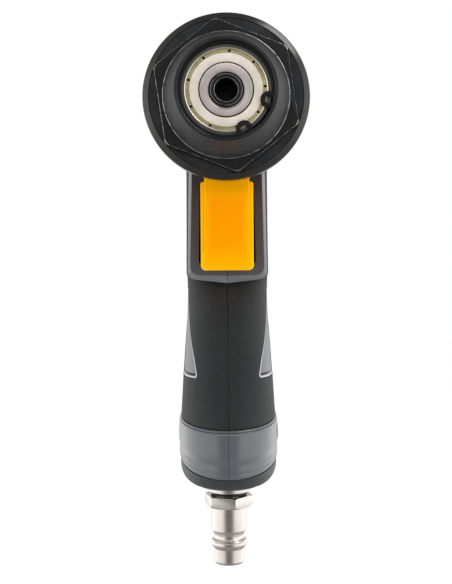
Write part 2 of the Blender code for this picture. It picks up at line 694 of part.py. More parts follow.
def build_casting():
    frame = spindle_frame()
    handle = handle_frame()
    plug = plug_frame()
    outline = (
        (0.0, FLANGE_BACK - CLEAR),
        (COLLAR_OUTER_RADIUS - 0.4, FLANGE_BACK - CLEAR),
        (COLLAR_OUTER_RADIUS, FLANGE_BACK - CLEAR - 0.4),
        (COLLAR_OUTER_RADIUS, COLLAR_BACK),
        (BARREL_RADIUS, COLLAR_BACK),
        (BARREL_RADIUS, BARREL_BACK + 1.0),
        (BARREL_RADIUS - 1.0, BARREL_BACK),
        (0.0, BARREL_BACK),
    )
    casting = turned("body_casting", outline, WIDE, frame, "aluminium")
    front, rear = COLUMN_DEPTHS
    footprint = rectangle(-COLUMN_HALF_WIDTH, COLUMN_HALF_WIDTH, front, rear, 2.0)
    boolean(casting, prism("guide_column", footprint, COLUMN_FOOT, -4.0, handle), "UNION")
    boss = ((0.0, 36.0), (9.0, 36.0), (9.0, 58.0), (7.8, 62.0), (7.8, 95.0), (0.0, 95.0))
    boolean(casting, turned("guide_inlet_boss", boss, MEDIUM, plug), "UNION")
    valve = spindle_frame(0.0, VALVE_LEVEL)
    end = VALVE_BORE_END - 1.6
    boss = ((0.0, end), (6.3, end), (7.9, end + 4.0), (7.9, -40.0), (0.0, -40.0))
    boolean(casting, turned("guide_valve_boss", boss, MEDIUM, valve), "UNION")
    bore = (
        (0.0, 0.0),
        (SPIGOT_RADIUS + 0.2, 0.0),
        (SPIGOT_RADIUS + 0.2, FRONT_PLATE[0] + 0.1),
        (BORE_RADIUS, FRONT_PLATE[0] + 0.1),
        (BORE_RADIUS, BARREL_FLOOR),
        (0.0, BARREL_FLOOR),
    )
    cut(casting, turned("cut_motor_bore", bore, WIDE, frame))
    cut(casting, rod("cut_valve_bore", VALVE_BORE_RADIUS, VALVE_BORE_END, -25.0, SMALL, valve))
    inlet = ((0.0, 30.0), (INLET_THREAD_RADIUS, 30.0), (INLET_THREAD_RADIUS, 48.0), (INLET_RADIUS, 48.0))
    cut(casting, turned("cut_inlet", inlet + ((INLET_RADIUS, 112.0), (0.0, 112.0)), SMALL, plug))
    cut(casting, rod("cut_motor_feed", 2.5, VALVE_LEVEL, -10.0, TINY, upright_frame(42.0)))
    slot = rectangle(-9.5, 9.5, 50.0, 57.0)
    cut(casting, prism("cut_exhaust_slot", slot, -26.5, -10.0, upright_frame(0.0)))
    for i, (back, height, head, tip) in enumerate(SHELL_SCREWS[:2]):
        cut(casting, rod(f"cut_casting_cross_hole_{i}", 1.9, -12.0, 12.0, TINY, across_frame(back, height)))
    for i, (x, depth) in enumerate(CAP_SCREW_SPOTS):
        spot = handle @ shift(x, depth, 0.0)
        cut(casting, rod(f"cut_casting_cap_hole_{i}", SCREW_RADIUS + FIT, -125.0, -94.0, TINY, spot))


def build_valve():
    frame = spindle_frame(0.0, VALVE_LEVEL)
    bushing_outline = (
        (3.3, -34.7),
        (VALVE_BORE_RADIUS - 0.2, -34.7),
        (VALVE_BORE_RADIUS - 0.2, -46.0),
        (3.0, -46.0),
        (3.0, -39.5),
        (STEM_RADIUS + CLEAR, -39.5),
        (STEM_RADIUS + CLEAR, -37.0),
        (3.3, -37.0),
    )
    bushing = turned("valve_bushing", bushing_outline, SMALL, frame, "brass")
    cut(bushing, rod("cut_bushing_port", 2.2, VALVE_LEVEL, VALVE_LEVEL + 9.0, TINY, upright_frame(42.0)))
    stem = (
        (0.0, -21.6),
        (STEM_RADIUS, -21.6),
        (STEM_RADIUS, -47.6),
        (4.2, -47.6),
        (4.2, -49.2),
        (1.9, -49.2),
        (1.9, -51.5),
        (0.0, -51.5),
    )
    turned("valve_stem", stem, SMALL, frame, "brass")
    turned("valve_washer", ring_outline(STEM_RADIUS + 0.15, 4.2, -47.45, -46.3), SMALL, frame, "seal_rubber")
    build_ring("stem_o_ring", 2.5, 0.65, -35.9, frame, "seal_rubber")
    build_spring("valve_spring", 3.1, 0.33, -49.9, VALVE_BORE_END + 0.6, 4, frame, "bright_steel")


def build_ring(name, circle, radius, height, matrix, material):
    corners = [TURN * (i + 0.5) / 6 for i in range(6)]
    outline = [(circle + radius * math.cos(a), height + radius * math.sin(a)) for a in corners]
    turned(name, outline, SMALL, matrix, material)


def build_spring(name, circle, wire, start, end, turns, matrix, material):
    """A coil whose wire's centre runs from start to end along the frame's axis."""
    steps = turns * 10
    curve = bpy.data.curves.new(name, "CURVE")
    curve.dimensions = "3D"
    curve.bevel_depth = wire * MM
    curve.bevel_resolution = 0
    curve.use_fill_caps = True
    spline = curve.splines.new("POLY")
    spline.points.add(steps)
    for i, point in enumerate(spline.points):
        angle = TURN * turns * i / steps
        height = start + (end - start) * i / steps
        point.co = (circle * math.cos(angle) * MM, circle * math.sin(angle) * MM, height * MM, 1.0)
    curve.materials.append(MATERIALS[material])
    obj = bpy.data.objects.new(name, curve)
    bpy.context.scene.collection.objects.link(obj)
    obj.matrix_world = matrix


# ---------------------------------------------------------------- trigger


def build_trigger():
    frame = spindle_frame()
    half = TRIGGER_HALF
    pad = TRIGGER_PAD_HALF
    foot = TRIGGER_FOOT
    left = [(-pad, TRIGGER_TOP), (-pad, -42.5), (-half, -44.0), (-half, foot + 1.5), (1.5 - half, foot)]
    outline = left + [(-x, z) for x, z in reversed(left)]
    trigger = prism("trigger", outline, -14.0, TRIGGER_FACE, frame, "orange_plastic")
    plate = rectangle(-half, half, foot, -23.6, 1.2)
    boolean(trigger, prism("guide_trigger_plate", plate, -15.4, -13.0, frame), "UNION")
    body = rectangle(-7.2, 7.2, -47.8, -24.2)
    boolean(trigger, prism("guide_trigger_body", body, TRIGGER_REAR, -14.5, frame), "UNION")
    hole = spindle_frame(0.0, VALVE_LEVEL)
    cut(trigger, rod("cut_trigger_socket", STEM_RADIUS + 0.2, TRIGGER_REAR - 1, -21.3, SMALL, hole))


# ---------------------------------------------------------------- grip shells, soft covers and base


def seam_plane(offset):
    """A large block below the band's sloping lower edge, moved down by an offset."""
    frame = handle_frame() @ shift(0.0, 0.0, BAND_FOOT - offset) @ Matrix.Rotation(BAND_FOOT_LEAN, 4, "X")
    return prism(f"guide_below_seam_{offset}", rectangle(-40, 40, -60, 60), -60.0, 0.0, frame)


def other_half(name, side):
    """The block that takes the far side off a piece, with the hairline seam between the two halves."""
    low, high = (-SEAM, 70.0) if side == "left" else (-70.0, SEAM)
    return prism(name, rectangle(-30.0, 130.0, -150.0, 60.0), low, high, side_frame())


def apply_steps(obj, steps):
    for operation, guide in steps:
        boolean(obj, guide, operation)


def cavity_inset(height):
    return NECK_WALL if height > WALL_CHANGE else GRIP_WALL


def shell_steps():
    """What turns the barrel's cladding into both grip shells, before they are parted."""
    frame = spindle_frame()
    handle = handle_frame()
    skin = oval_loft("guide_shell_skin", HANDLE_STATIONS, PLASTIC_STEP, handle)
    boolean(skin, prism("guide_side_panel", SIDE_PANEL, -30.0, 30.0, side_frame()), "INTERSECT")
    cavity = HANDLE_STATIONS[:-1] + BAND_STATIONS[1:4] + ((-125.0, 15.0, 23.0, 23.0, 2.6),)
    barrel = (
        (0.0, -10.0),
        (BARREL_RADIUS + CLEAR, -10.0),
        (BARREL_RADIUS + CLEAR, BARREL_BACK + 0.9),
        (BARREL_RADIUS - 0.8, BARREL_BACK - CLEAR),
        (0.0, BARREL_BACK - CLEAR),
    )
    back, height = SHELL_SCREWS[2][:2]
    opening = [(-8.4, -15.0), (-8.4, -46.6), (-6.8, -48.4), (6.8, -48.4), (8.4, -46.6), (8.4, -15.0)]
    return (
        ("UNION", oval_loft("guide_shell_core", HANDLE_STATIONS, CORE_INSET, handle)),
        ("UNION", skin),
        ("UNION", trigger_frame()),
        ("UNION", oval_loft("guide_band", BAND_STATIONS, 0.0, handle)),
        ("DIFFERENCE", seam_plane(0.0)),
        ("DIFFERENCE", oval_loft("cut_handle_cavity", cavity, cavity_inset, handle)),
        ("DIFFERENCE", turned("cut_barrel_cavity", barrel, WIDE, frame)),
        ("UNION", rod("guide_screw_boss", 3.1, -8.3, 8.3, SMALL, across_frame(back, height))),
        ("DIFFERENCE", prism("cut_trigger_opening", opening, -34.0, -15.0, frame)),
    )


def trigger_frame():
    """The squared collar round the trigger, narrower at its front edges and at its foot."""
    half_outline = ((12.4, 44.0), (12.5, 34.0), (11.9, 26.0), (11.3, 21.8), (10.6, 21.0))
    rings = []
    for height, trim, setback in ((-8.0, 0.0, 0.0), (-51.2, 0.0, 0.0), (-53.2, 1.3, 2.0)):
        side = []
        for x, back in half_outline:
            side.append((x - trim, max(back, half_outline[-1][1] + setback), height))
        rings.append(side + [(-x, back, z) for x, back, z in reversed(side)])
    return loft("guide_trigger_frame", rings, upright_frame(0.0))


def build_shells():
    cladding = (
        (0.0, -18.6),
        (20.6, -18.6),
        (21.0, -19.0),
        (21.0, -40.0),
        (20.5, -64.0),
        (19.6, -75.0),
        (17.6, -81.0),
        (13.5, -84.2),
        (0.0, -85.0),
    )
    steps = shell_steps()
    for side in ("left", "right"):
        shell = turned(f"grip_shell_{side}", cladding, WIDE, spindle_frame(), "grey_plastic")
        apply_steps(shell, steps)
        boolean(shell, other_half(f"cut_shell_{side}", side), "DIFFERENCE", "MANIFOLD")
        for i, (back, height, head, tip) in enumerate(SHELL_SCREWS):
            spot = across_frame(back, height)
            if side == "right":
                wide = HEAD_RADIUS + 0.4
                hole = ((0.0, -1.0), (1.7, -1.0), (1.7, head), (wide, head), (wide, 40.0), (0.0, 40.0))
                cut(shell, turned(f"cut_right_screw_{i}", hole, SMALL, spot))
            else:
                cut(shell, rod(f"cut_left_screw_{i}", SCREW_RADIUS + FIT, tip - 0.4, 1.0, SMALL, spot))


def build_soft_covers():
    handle = handle_frame()
    top = (-20.0, 12.9, 15.2, 22.2, 2.6)
    stations = (top,) + HANDLE_STATIONS[1:-1] + ((BAND_TOP + CLEAR, 15.0, 22.8, 23.0, 2.5),)
    inner = ((-5.0, 12.8, 14.0, 23.0, 2.6),) + HANDLE_STATIONS[1:-1] + ((-100.0, 15.2, 23.1, 23.3, 2.5),)
    steps = (
        ("DIFFERENCE", oval_loft("cut_soft_cover", inner, RUBBER_THICKNESS, handle)),
        ("DIFFERENCE", prism("cut_side_panel", grown(SIDE_PANEL, CLEAR), -30.0, 30.0, side_frame())),
    )
    for side in ("left", "right"):
        cover = oval_loft(f"grip_cover_{side}", stations, 0.0, handle, "soft_rubber")
        apply_steps(cover, steps)
        cut(cover, other_half(f"cut_cover_{side}", side))


def build_shell_screws():
    for i, (back, height, head, tip) in enumerate(SHELL_SCREWS):
        outline = (
            (0.0, tip),
            (SCREW_RADIUS, tip),
            (SCREW_RADIUS, head + 0.2),
            (HEAD_RADIUS, head + 0.2),
            (HEAD_RADIUS, head + HEAD_DEPTH - 0.3),
            (HEAD_RADIUS - 0.5, head + HEAD_DEPTH),
            (0.0, head + HEAD_DEPTH),
        )
        turned(f"shell_screw_{i + 1}", outline, TINY, across_frame(back, height), "bright_steel")


def build_base():
    handle = handle_frame()
    plug = plug_frame()
    cap = oval_loft("base_cap", CAP_STATIONS, 0.0, handle, "black_plastic")
    boolean(cap, seam_plane(CLEAR), "INTERSECT")
    cut(cap, rod("cut_cap_boss", 9.4, 35.5, 70.0, MEDIUM, plug))
    cut(cap, rod("cut_cap_inlet", 7.1, 20.0, 50.0, MEDIUM, plug))
    slots = bmesh.new()
    for x in (-8.0, -4.0, 0.0, 4.0, 8.0):
        add_prism(slots, rectangle(x - 0.9, x + 0.9, -17.0, -11.0), -125.0, -100.0)
    cut(cap, make_object("cut_exhaust_slots", slots, handle, None))
    seat = -113.0
    for i, (x, depth) in enumerate(CAP_SCREW_SPOTS):
        spot = handle @ shift(x, depth, 0.0)
        hole = ((0.0, -130.0), (2.7, -130.0), (2.7, seat), (1.6, seat), (1.6, -95.0), (0.0, -95.0))
        cut(cap, turned(f"cut_cap_screw_{i}", hole, SMALL, spot))
        outline = (
            (0.0, seat - 1.8),
            (1.9, seat - 1.8),
            (2.3, seat - 1.5),
            (2.3, seat - 0.2),
            (SCREW_RADIUS, seat - 0.2),
            (SCREW_RADIUS, -94.6),
            (0.0, -94.6),
        )
        turned(f"base_cap_screw_{i + 1}", outline, TINY, spot, "bright_steel")
    muffler = rectangle(-6.2, 6.2, -15.6, -10.6, 1.5)
    prism("exhaust_muffler", muffler, -106.5, -80.0, handle, "felt")


# ---------------------------------------------------------------- air inlet


def build_inlet():
    plug = plug_frame()
    bushing = (
        (5.1, 24.0),
        (6.2, 24.0),
        (6.7, 24.5),
        (6.7, 47.4),
        (INLET_RADIUS, 47.4),
        (INLET_RADIUS, 35.6),
        (5.1, 35.6),
    )
    turned("inlet_bushing", bushing, MEDIUM, plug, "nickel")
    screen = ((0.0, 43.1), (2.9, 43.1), (2.9, 36.0), (3.35, 36.0), (3.35, 43.5), (0.0, 43.5))
    turned("inlet_filter_screen", screen, SMALL, plug, "bright_steel")
    turned("plug_sealing_ring", ring_outline(5.1, 6.3, 23.15, 23.85), MEDIUM, plug, "seal_rubber")
    outline = (
        (3.5, 0.2),
        (3.7, 0.0),
        (4.4, 0.0),
        (4.95, 0.8),
        (4.95, 5.3),
        (5.7, 6.1),
        (6.02, 6.9),
        (6.02, 7.4),
        (5.5, 8.2),
        (4.8, 8.6),
        (4.8, 9.8),
        (5.88, 11.4),
        (5.88, 20.2),
        (4.8, 20.2),
        (4.8, 34.6),
        (3.5, 34.6),
    )
    nipple = turned("air_plug", outline, MEDIUM, plug, "nickel")
    corner = 7.0 / math.cos(TURN / 12)
    corners = [math.radians(-90.0 + 15.5) + TURN * i / 6 for i in range(6)]
    hexagon = [(corner * math.cos(angle), corner * math.sin(angle)) for angle in corners]
    nut = prism("guide_plug_hexagon", hexagon, 19.3, 23.0, plug)
    chamfer = ((0.0, 18.9), (6.6, 18.9), (8.2, 20.3), (8.2, 22.7), (7.6, 23.3), (0.0, 23.3))
    boolean(nut, turned("cut_plug_chamfer", chamfer, MEDIUM, plug), "INTERSECT")
    cut(nut, rod("cut_plug_core", 4.3, 10.0, 30.0, SMALL, plug))
    boolean(nipple, nut, "UNION")


for leftover in list(bpy.data.objects):
    bpy.data.objects.remove(leftover, do_unlink=True)
MATERIALS = {name: make_material(name) for name in COLORS}
build_front_housing()
build_circlip()
build_front_bearing()
build_spindle()
build_gears()
build_rotor()
build_rotor_bearing("front", FRONT_ROTOR_BEARING)
build_rotor_bearing("rear", REAR_ROTOR_BEARING)
build_motor_case()
build_casting()
build_valve()
build_trigger()
build_shells()
build_soft_covers()
build_shell_screws()
build_base()
build_inlet()
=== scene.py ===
"""The looks of the pistol-grip air drill body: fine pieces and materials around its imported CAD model.

Sizes are in millimetres, and MM turns them into metres where a mesh is made. Materials and the studio are
in metres. The frames are the CAD model's own: the spindle frame's heights run forward from the flange's
front plane, the handle frame's run up the leaning handle from the spindle's level, and the plug frame's
run up the air plug from its tip.
"""

import math

import bmesh
import bpy
from mathutils import Matrix, Vector


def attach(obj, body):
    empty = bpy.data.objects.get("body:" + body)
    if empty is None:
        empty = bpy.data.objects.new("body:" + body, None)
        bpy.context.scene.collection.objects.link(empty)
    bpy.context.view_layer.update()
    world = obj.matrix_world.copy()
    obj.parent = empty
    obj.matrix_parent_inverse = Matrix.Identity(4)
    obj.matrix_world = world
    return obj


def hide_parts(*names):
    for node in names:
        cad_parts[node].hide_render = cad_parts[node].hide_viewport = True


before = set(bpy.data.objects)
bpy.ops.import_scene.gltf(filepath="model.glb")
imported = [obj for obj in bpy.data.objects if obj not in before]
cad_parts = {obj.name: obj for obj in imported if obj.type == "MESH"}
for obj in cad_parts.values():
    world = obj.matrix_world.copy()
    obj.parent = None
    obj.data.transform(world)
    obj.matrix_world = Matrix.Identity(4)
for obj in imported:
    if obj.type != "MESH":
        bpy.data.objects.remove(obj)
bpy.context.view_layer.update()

MM = 0.001
TURN = 2 * math.pi
MATERIALS = {}

# Sides of the largest turned pieces, of the others, of rods and screws, and of small recesses
FINEST = 192
FINE = 128
ROUND = 64
COARSE = 48

# How far each half of the grip shell, and each half of the soft cover, stops short of the middle
SEAM = 0.05
RUBBER_SEAM = 0.07

# The flange's front plane, and the handle's axis and the plug's tip measured back from it
FLANGE_PLANE = 2.5
HANDLE_BACK = 38.5
HANDLE_LEAN = math.radians(9.0)
PLUG_TIP = (0.0, 68.5, -144.6)
PLUG_LEAN = math.radians(7.0)

# Hexagon behind the nose cone: half its width over the flats, and its first corner in degrees
HEXAGON_HALF = 19.2
HEXAGON_START = 38.43

# Circlip: radius of its ears' circle, and its back and front
CLIP_EAR_CIRCLE = 12.1
CLIP_BACK = 14.05
CLIP_FRONT = 15.2

BEARING_MIDDLE = 9.8
SHIELD_NOTCHES = 9
PIN_CIRCLE = 8.4
VALVE_LEVEL = -36.0

# Outline of the handle: height, half width, front depth, rear depth, squareness
HANDLE_STATIONS = (
    (-10.0, 12.8, 14.0, 23.0, 2.6),
    (-24.0, 12.9, 15.5, 22.0, 2.6),
    (-38.0, 13.0, 17.5, 22.6, 2.6),
    (-50.0, 12.9, 20.5, 24.0, 2.6),
    (-56.0, 12.9, 22.6, 24.6, 2.5),
    (-66.0, 13.3, 22.6, 24.8, 2.5),
    (-76.0, 13.8, 22.0, 24.0, 2.5),
    (-84.0, 14.2, 21.8, 23.2, 2.4),
    (-92.0, 14.7, 22.2, 22.8, 2.15),
    (-96.5, 15.0, 22.8, 23.0, 2.05),
    (-101.0, 15.3, 23.2, 23.4, 2.05),
)
# Opening for the side panel in the soft cover, as (back, height). Its first corners are rounded, and the rest
# lie clear of the handle.
SIDE_PANEL_ROUNDED = 14
SIDE_PANEL = (
    (10.0, -49.0),
    (38.2, -49.0),
    (37.2, -54.4),
    (35.2, -68.3),
    (33.6, -76.5),
    (33.4, -81.6),
    (34.4, -82.4),
    (53.0, -81.4),
    (54.4, -80.2),
    (57.0, -66.0),
    (58.2, -54.0),
    (58.8, -40.0),
    (60.5, -30.0),
    (64.0, -25.5),
    (90.0, -24.5),
    (90.0, 10.0),
    (10.0, 10.0),
)
# The side panel itself with its bead, whose lower corners are the opening's
SIDE_INLAY = ((37.2, -54.0), *SIDE_PANEL[3:10], (58.1, -54.0))
# Outlines of the glossy band and of the base cap, with the same columns as the handle's
BAND_STATIONS = (
    (-95.9, 15.3, 23.1, 23.3, 2.05),
    (-98.0, 15.6, 23.6, 23.8, 2.05),
    (-102.0, 15.75, 24.0, 24.2, 2.05),
    (-106.0, 15.6, 23.8, 24.0, 2.1),
    (-112.5, 15.2, 23.35, 23.45, 2.15),
)
CAP_STATIONS = (
    (-101.5, 15.3, 23.3, 23.5, 2.15),
    (-110.7, 15.2, 23.2, 23.4, 2.2),
    (-112.9, 14.9, 22.7, 23.0, 2.2),
    (-114.9, 13.8, 21.0, 21.4, 2.2),
    (-116.0, 12.0, 18.6, 19.0, 2.2),
    (-116.45, 9.6, 15.6, 16.0, 2.2),
)
# Top and foot of the band's wall at the handle's axis, and the slope that its rings reach at the foot
BAND_WALL = -96.9
BAND_FOOT = -107.7
FOOT_SLOPE = math.tan(math.radians(8.7))
# Shell screws: back, height, seat of the head, tip
SHELL_SCREWS = (
    (45.9, -65.7, 10.3, -11.7),
    (51.3, -100.2, 11.6, -13.2),
    (61.0, -24.0, 6.4, -7.6),
    (80.0, 0.0, 12.0, -10.0),
)
# Base cap screws in the handle's frame: across, back
CAP_SCREW_SPOTS = ((-5.5, -6.0), (5.5, -6.0))

# Studio, with its lengths in metres
FLOOR_LEVEL = -0.25
FLOOR_REACH = 6.0
FLOOR_GREY = 0.89
FLOOR_GLOW = 0.475
CAMERA_PLACE = (-0.00045, -0.4475, -0.05597)
CAMERA_ROLL = math.radians(0.41)
CAMERA_LENS = 97.4

# Brightness of the studio's walls all round and to the sides, then the share of it that is left above,
# behind the camera and low in front
WORLD_BASE = 0.85
WORLD_SIDE = 1.55
WORLD_TOP = 0.42
WORLD_FRONT = 0.3
WORLD_STRIP = 0.95


# ---- frames


def shift(x, y, z):
    return Matrix.Translation((x * MM, y * MM, z * MM))


def spindle_frame(x=0.0, z=0.0):
    return shift(x, FLANGE_PLANE, z) @ Matrix.Rotation(TURN / 4, 4, "X")


def handle_frame():
    return shift(0.0, FLANGE_PLANE + HANDLE_BACK, 0.0) @ Matrix.Rotation(HANDLE_LEAN, 4, "X")


def plug_frame():
    x, y, z = PLUG_TIP
    return shift(x, FLANGE_PLANE + y, z) @ Matrix.Rotation(PLUG_LEAN, 4, "X")


def across_frame(back, height):
    return shift(0.0, FLANGE_PLANE + back, height) @ Matrix.Rotation(TURN / 4, 4, "Y")


def side_frame():
    swap = Matrix(((0, 0, 1, 0), (1, 0, 0, 0), (0, 1, 0, 0), (0, 0, 0, 1)))
    return shift(0.0, FLANGE_PLANE, 0.0) @ swap


# ---- materials


def calculate(tree, operation, first, second):
    """Adds a Math node. Each value is a number or another node's output."""
    node = tree.nodes.new("ShaderNodeMath")
    node.operation = operation
    for socket, value in zip(node.inputs, (first, second)):
        if isinstance(value, (int, float)):
            socket.default_value = value
        else:
            tree.links.new(value, socket)
    return node.outputs["Value"]


def map_range(tree, source, start, end, low, high, interpolation="LINEAR"):
    """Adds a Map Range node that takes start to low and end to high."""
    node = tree.nodes.new("ShaderNodeMapRange")
    node.interpolation_type = interpolation
    for socket, value in zip(("From Min", "From Max", "To Min", "To Max"), (start, end, low, high)):
        node.inputs[socket].default_value = value
    tree.links.new(source, node.inputs["Value"])
    return node.outputs["Result"]


class Nodes:
    """A material's node tree, with short ways to add and join nodes."""

    def __init__(self, name, roughness, metallic, **sockets):
        self.material = bpy.data.materials.new(name)
        self.material.use_nodes = True
        self.tree = self.material.node_tree
        self.shader = self.tree.nodes["Principled BSDF"]
        self.shader.inputs["Roughness"].default_value = roughness
        self.shader.inputs["Metallic"].default_value = metallic
        for socket, value in sockets.items():
            self.shader.inputs[socket.replace("_", " ")].default_value = value
        self.coordinates = self.tree.nodes.new("ShaderNodeTexCoord").outputs["Object"]
        MATERIALS[name] = self.material

    def link(self, source, target):
        self.tree.links.new(source, target)

    def noise(self, scale, detail, vector=None):
        node = self.tree.nodes.new("ShaderNodeTexNoise")
        node.inputs["Scale"].default_value = scale
        node.inputs["Detail"].default_value = detail
        self.link(vector or self.coordinates, node.inputs["Vector"])
        return node.outputs["Fac"]

    def spread(self, source, low, high, start=0.3, end=0.7):
        """Spreads the middle of a noise's range, start to end, over low to high."""
        return map_range(self.tree, source, start, end, low, high)

    def calculate(self, operation, first, second):
        return calculate(self.tree, operation, first, second)

    def axes(self):
        """The place on the object along X, Y and Z."""
        node = self.tree.nodes.new("ShaderNodeSeparateXYZ")
        self.link(self.coordinates, node.inputs["Vector"])
        return node.outputs

    def blend_colors(self, factor, first, second):
        node = self.tree.nodes.new("ShaderNodeMix")
        node.data_type = "RGBA"
        self.link(factor, node.inputs["Factor"])
        for socket, value in ((node.inputs[6], first), (node.inputs[7], second)):
            if isinstance(value, tuple):
                socket.default_value = (*value, 1.0)
            else:
                self.link(value, socket)
        return node.outputs[2]

    def color(self, source):
        self.link(source, self.shader.inputs["Base Color"])

    def roughness(self, source):
        self.link(source, self.shader.inputs["Roughness"])

    def bump(self, source, depth):
        node = self.tree.nodes.new("ShaderNodeBump")
        node.inputs["Distance"].default_value = depth * MM
        self.link(source, node.inputs["Height"])
        self.link(node.outputs["Normal"], self.shader.inputs["Normal"])

    def turned_marks(self, scale):
        """Fine rings round the object's own Z axis, as a lathe leaves."""
        x, y, z = self.axes()
        squares = self.calculate("ADD", self.calculate("MULTIPLY", x, x), self.calculate("MULTIPLY", y, y))
        radius = self.calculate("SQRT", squares, 0.0)
        joined = self.tree.nodes.new("ShaderNodeCombineXYZ")
        self.link(radius, joined.inputs["X"])
        self.link(z, joined.inputs["Z"])
        return self.noise(scale, 2.0, joined.outputs["Vector"])

    def blotches(self, source, color, vary):
        """Lets a noise vary the colour, darker and brighter by a share."""
        dark, bright = (tuple(min(1.0, value * factor) for value in color) for factor in (1 - vary, 1 + vary))
        self.color(self.blend_colors(self.spread(source, 0.0, 1.0), dark, bright))


def plain_surface(
    name, color, roughness, metallic, vary=0.06, blotch=120.0, grain=2600.0, depth=0.004, **sockets
):
    """Moulded or cast stock: slow blotches in its colour, a fine grain in its roughness and its relief."""
    n = Nodes(name, roughness, metallic, **sockets)
    slow = n.noise(blotch, 4.0)
    fine = n.noise(grain, 2.0)
    n.blotches(slow, color, vary)
    n.roughness(n.spread(fine, roughness * 0.9, min(1.0, roughness * 1.1)))
    n.bump(fine, depth)


def turned_surface(name, color, roughness, metallic, vary=0.08, rings=5200.0, depth=0.003, **sockets):
    """Turned metal: rings round its axis in its roughness and relief, and slow blotches in its colour."""
    n = Nodes(name, roughness, metallic, **sockets)
    marks = n.turned_marks(rings)
    slow = n.noise(160.0, 4.0)
    n.blotches(slow, color, vary)
    n.roughness(n.spread(marks, roughness * 0.8, min(1.0, roughness * 1.2)))
    n.bump(marks, depth)


def height_shaded_surface(name, stops, roughness, gloss, speckle=0.03):
    """Moulded stock whose colour changes with height, as painted shade and highlight: stops are two pairs of
    a height and a colour.
    """
    n = Nodes(name, roughness, 0.0, Specular_IOR_Level=gloss)
    (low, first), (high, second) = stops
    height_shade = n.blend_colors(n.spread(n.axes()["Z"], 0.0, 1.0, low, high), first, second)
    fine = n.noise(1700.0, 4.0)
    n.color(n.blend_colors(n.spread(fine, 0.0, speckle, 0.45, 0.75), height_shade, (0.16, 0.165, 0.17)))
    n.roughness(n.spread(fine, roughness * 0.9, roughness * 1.1))
    n.bump(fine, 0.004)


def painted_light_plastic():
    """The trigger's bright orange plastic. Its yellower sides, top and foot are painted light."""
    n = Nodes("orange_plastic", 0.32, 0.0, Specular_IOR_Level=0.02)
    across, up, _ = n.axes()
    aside = n.spread(n.calculate("ABSOLUTE", across, 0.0), 0.0, 0.8, 0.0045, 0.0072)
    low = n.spread(up, 0.6, 0.0, -0.0500, -0.0420)
    high = n.spread(up, 0.0, 0.6, -0.0300, -0.0230)
    # Painted light: the share of yellow towards the sides, top and foot
    painted_light_share = n.calculate("MAXIMUM", aside, n.calculate("MAXIMUM", low, high))
    n.color(n.blend_colors(painted_light_share, (1.0, 0.325, 0.0), (1.0, 0.54, 0.0)))
    fine = n.noise(3000.0, 2.0)
    n.roughness(n.spread(fine, 0.29, 0.35))
    n.bump(fine, 0.002)


def worn_and_highlit_surface(name, dark, bright, roughness, scale=900.0):
    """A corner with broken, scratchy bright stretches over a dark colour: black finish rubbed through, and
    painted highlights where edges catch light.
    """
    n = Nodes(name, roughness, 1.0)
    patches = n.noise(scale, 6.0)
    n.color(n.blend_colors(n.spread(patches, 0.0, 1.0, 0.36, 0.54), dark, bright))
    n.roughness(n.spread(patches, roughness, roughness * 1.3))
    n.bump(patches, 0.01)


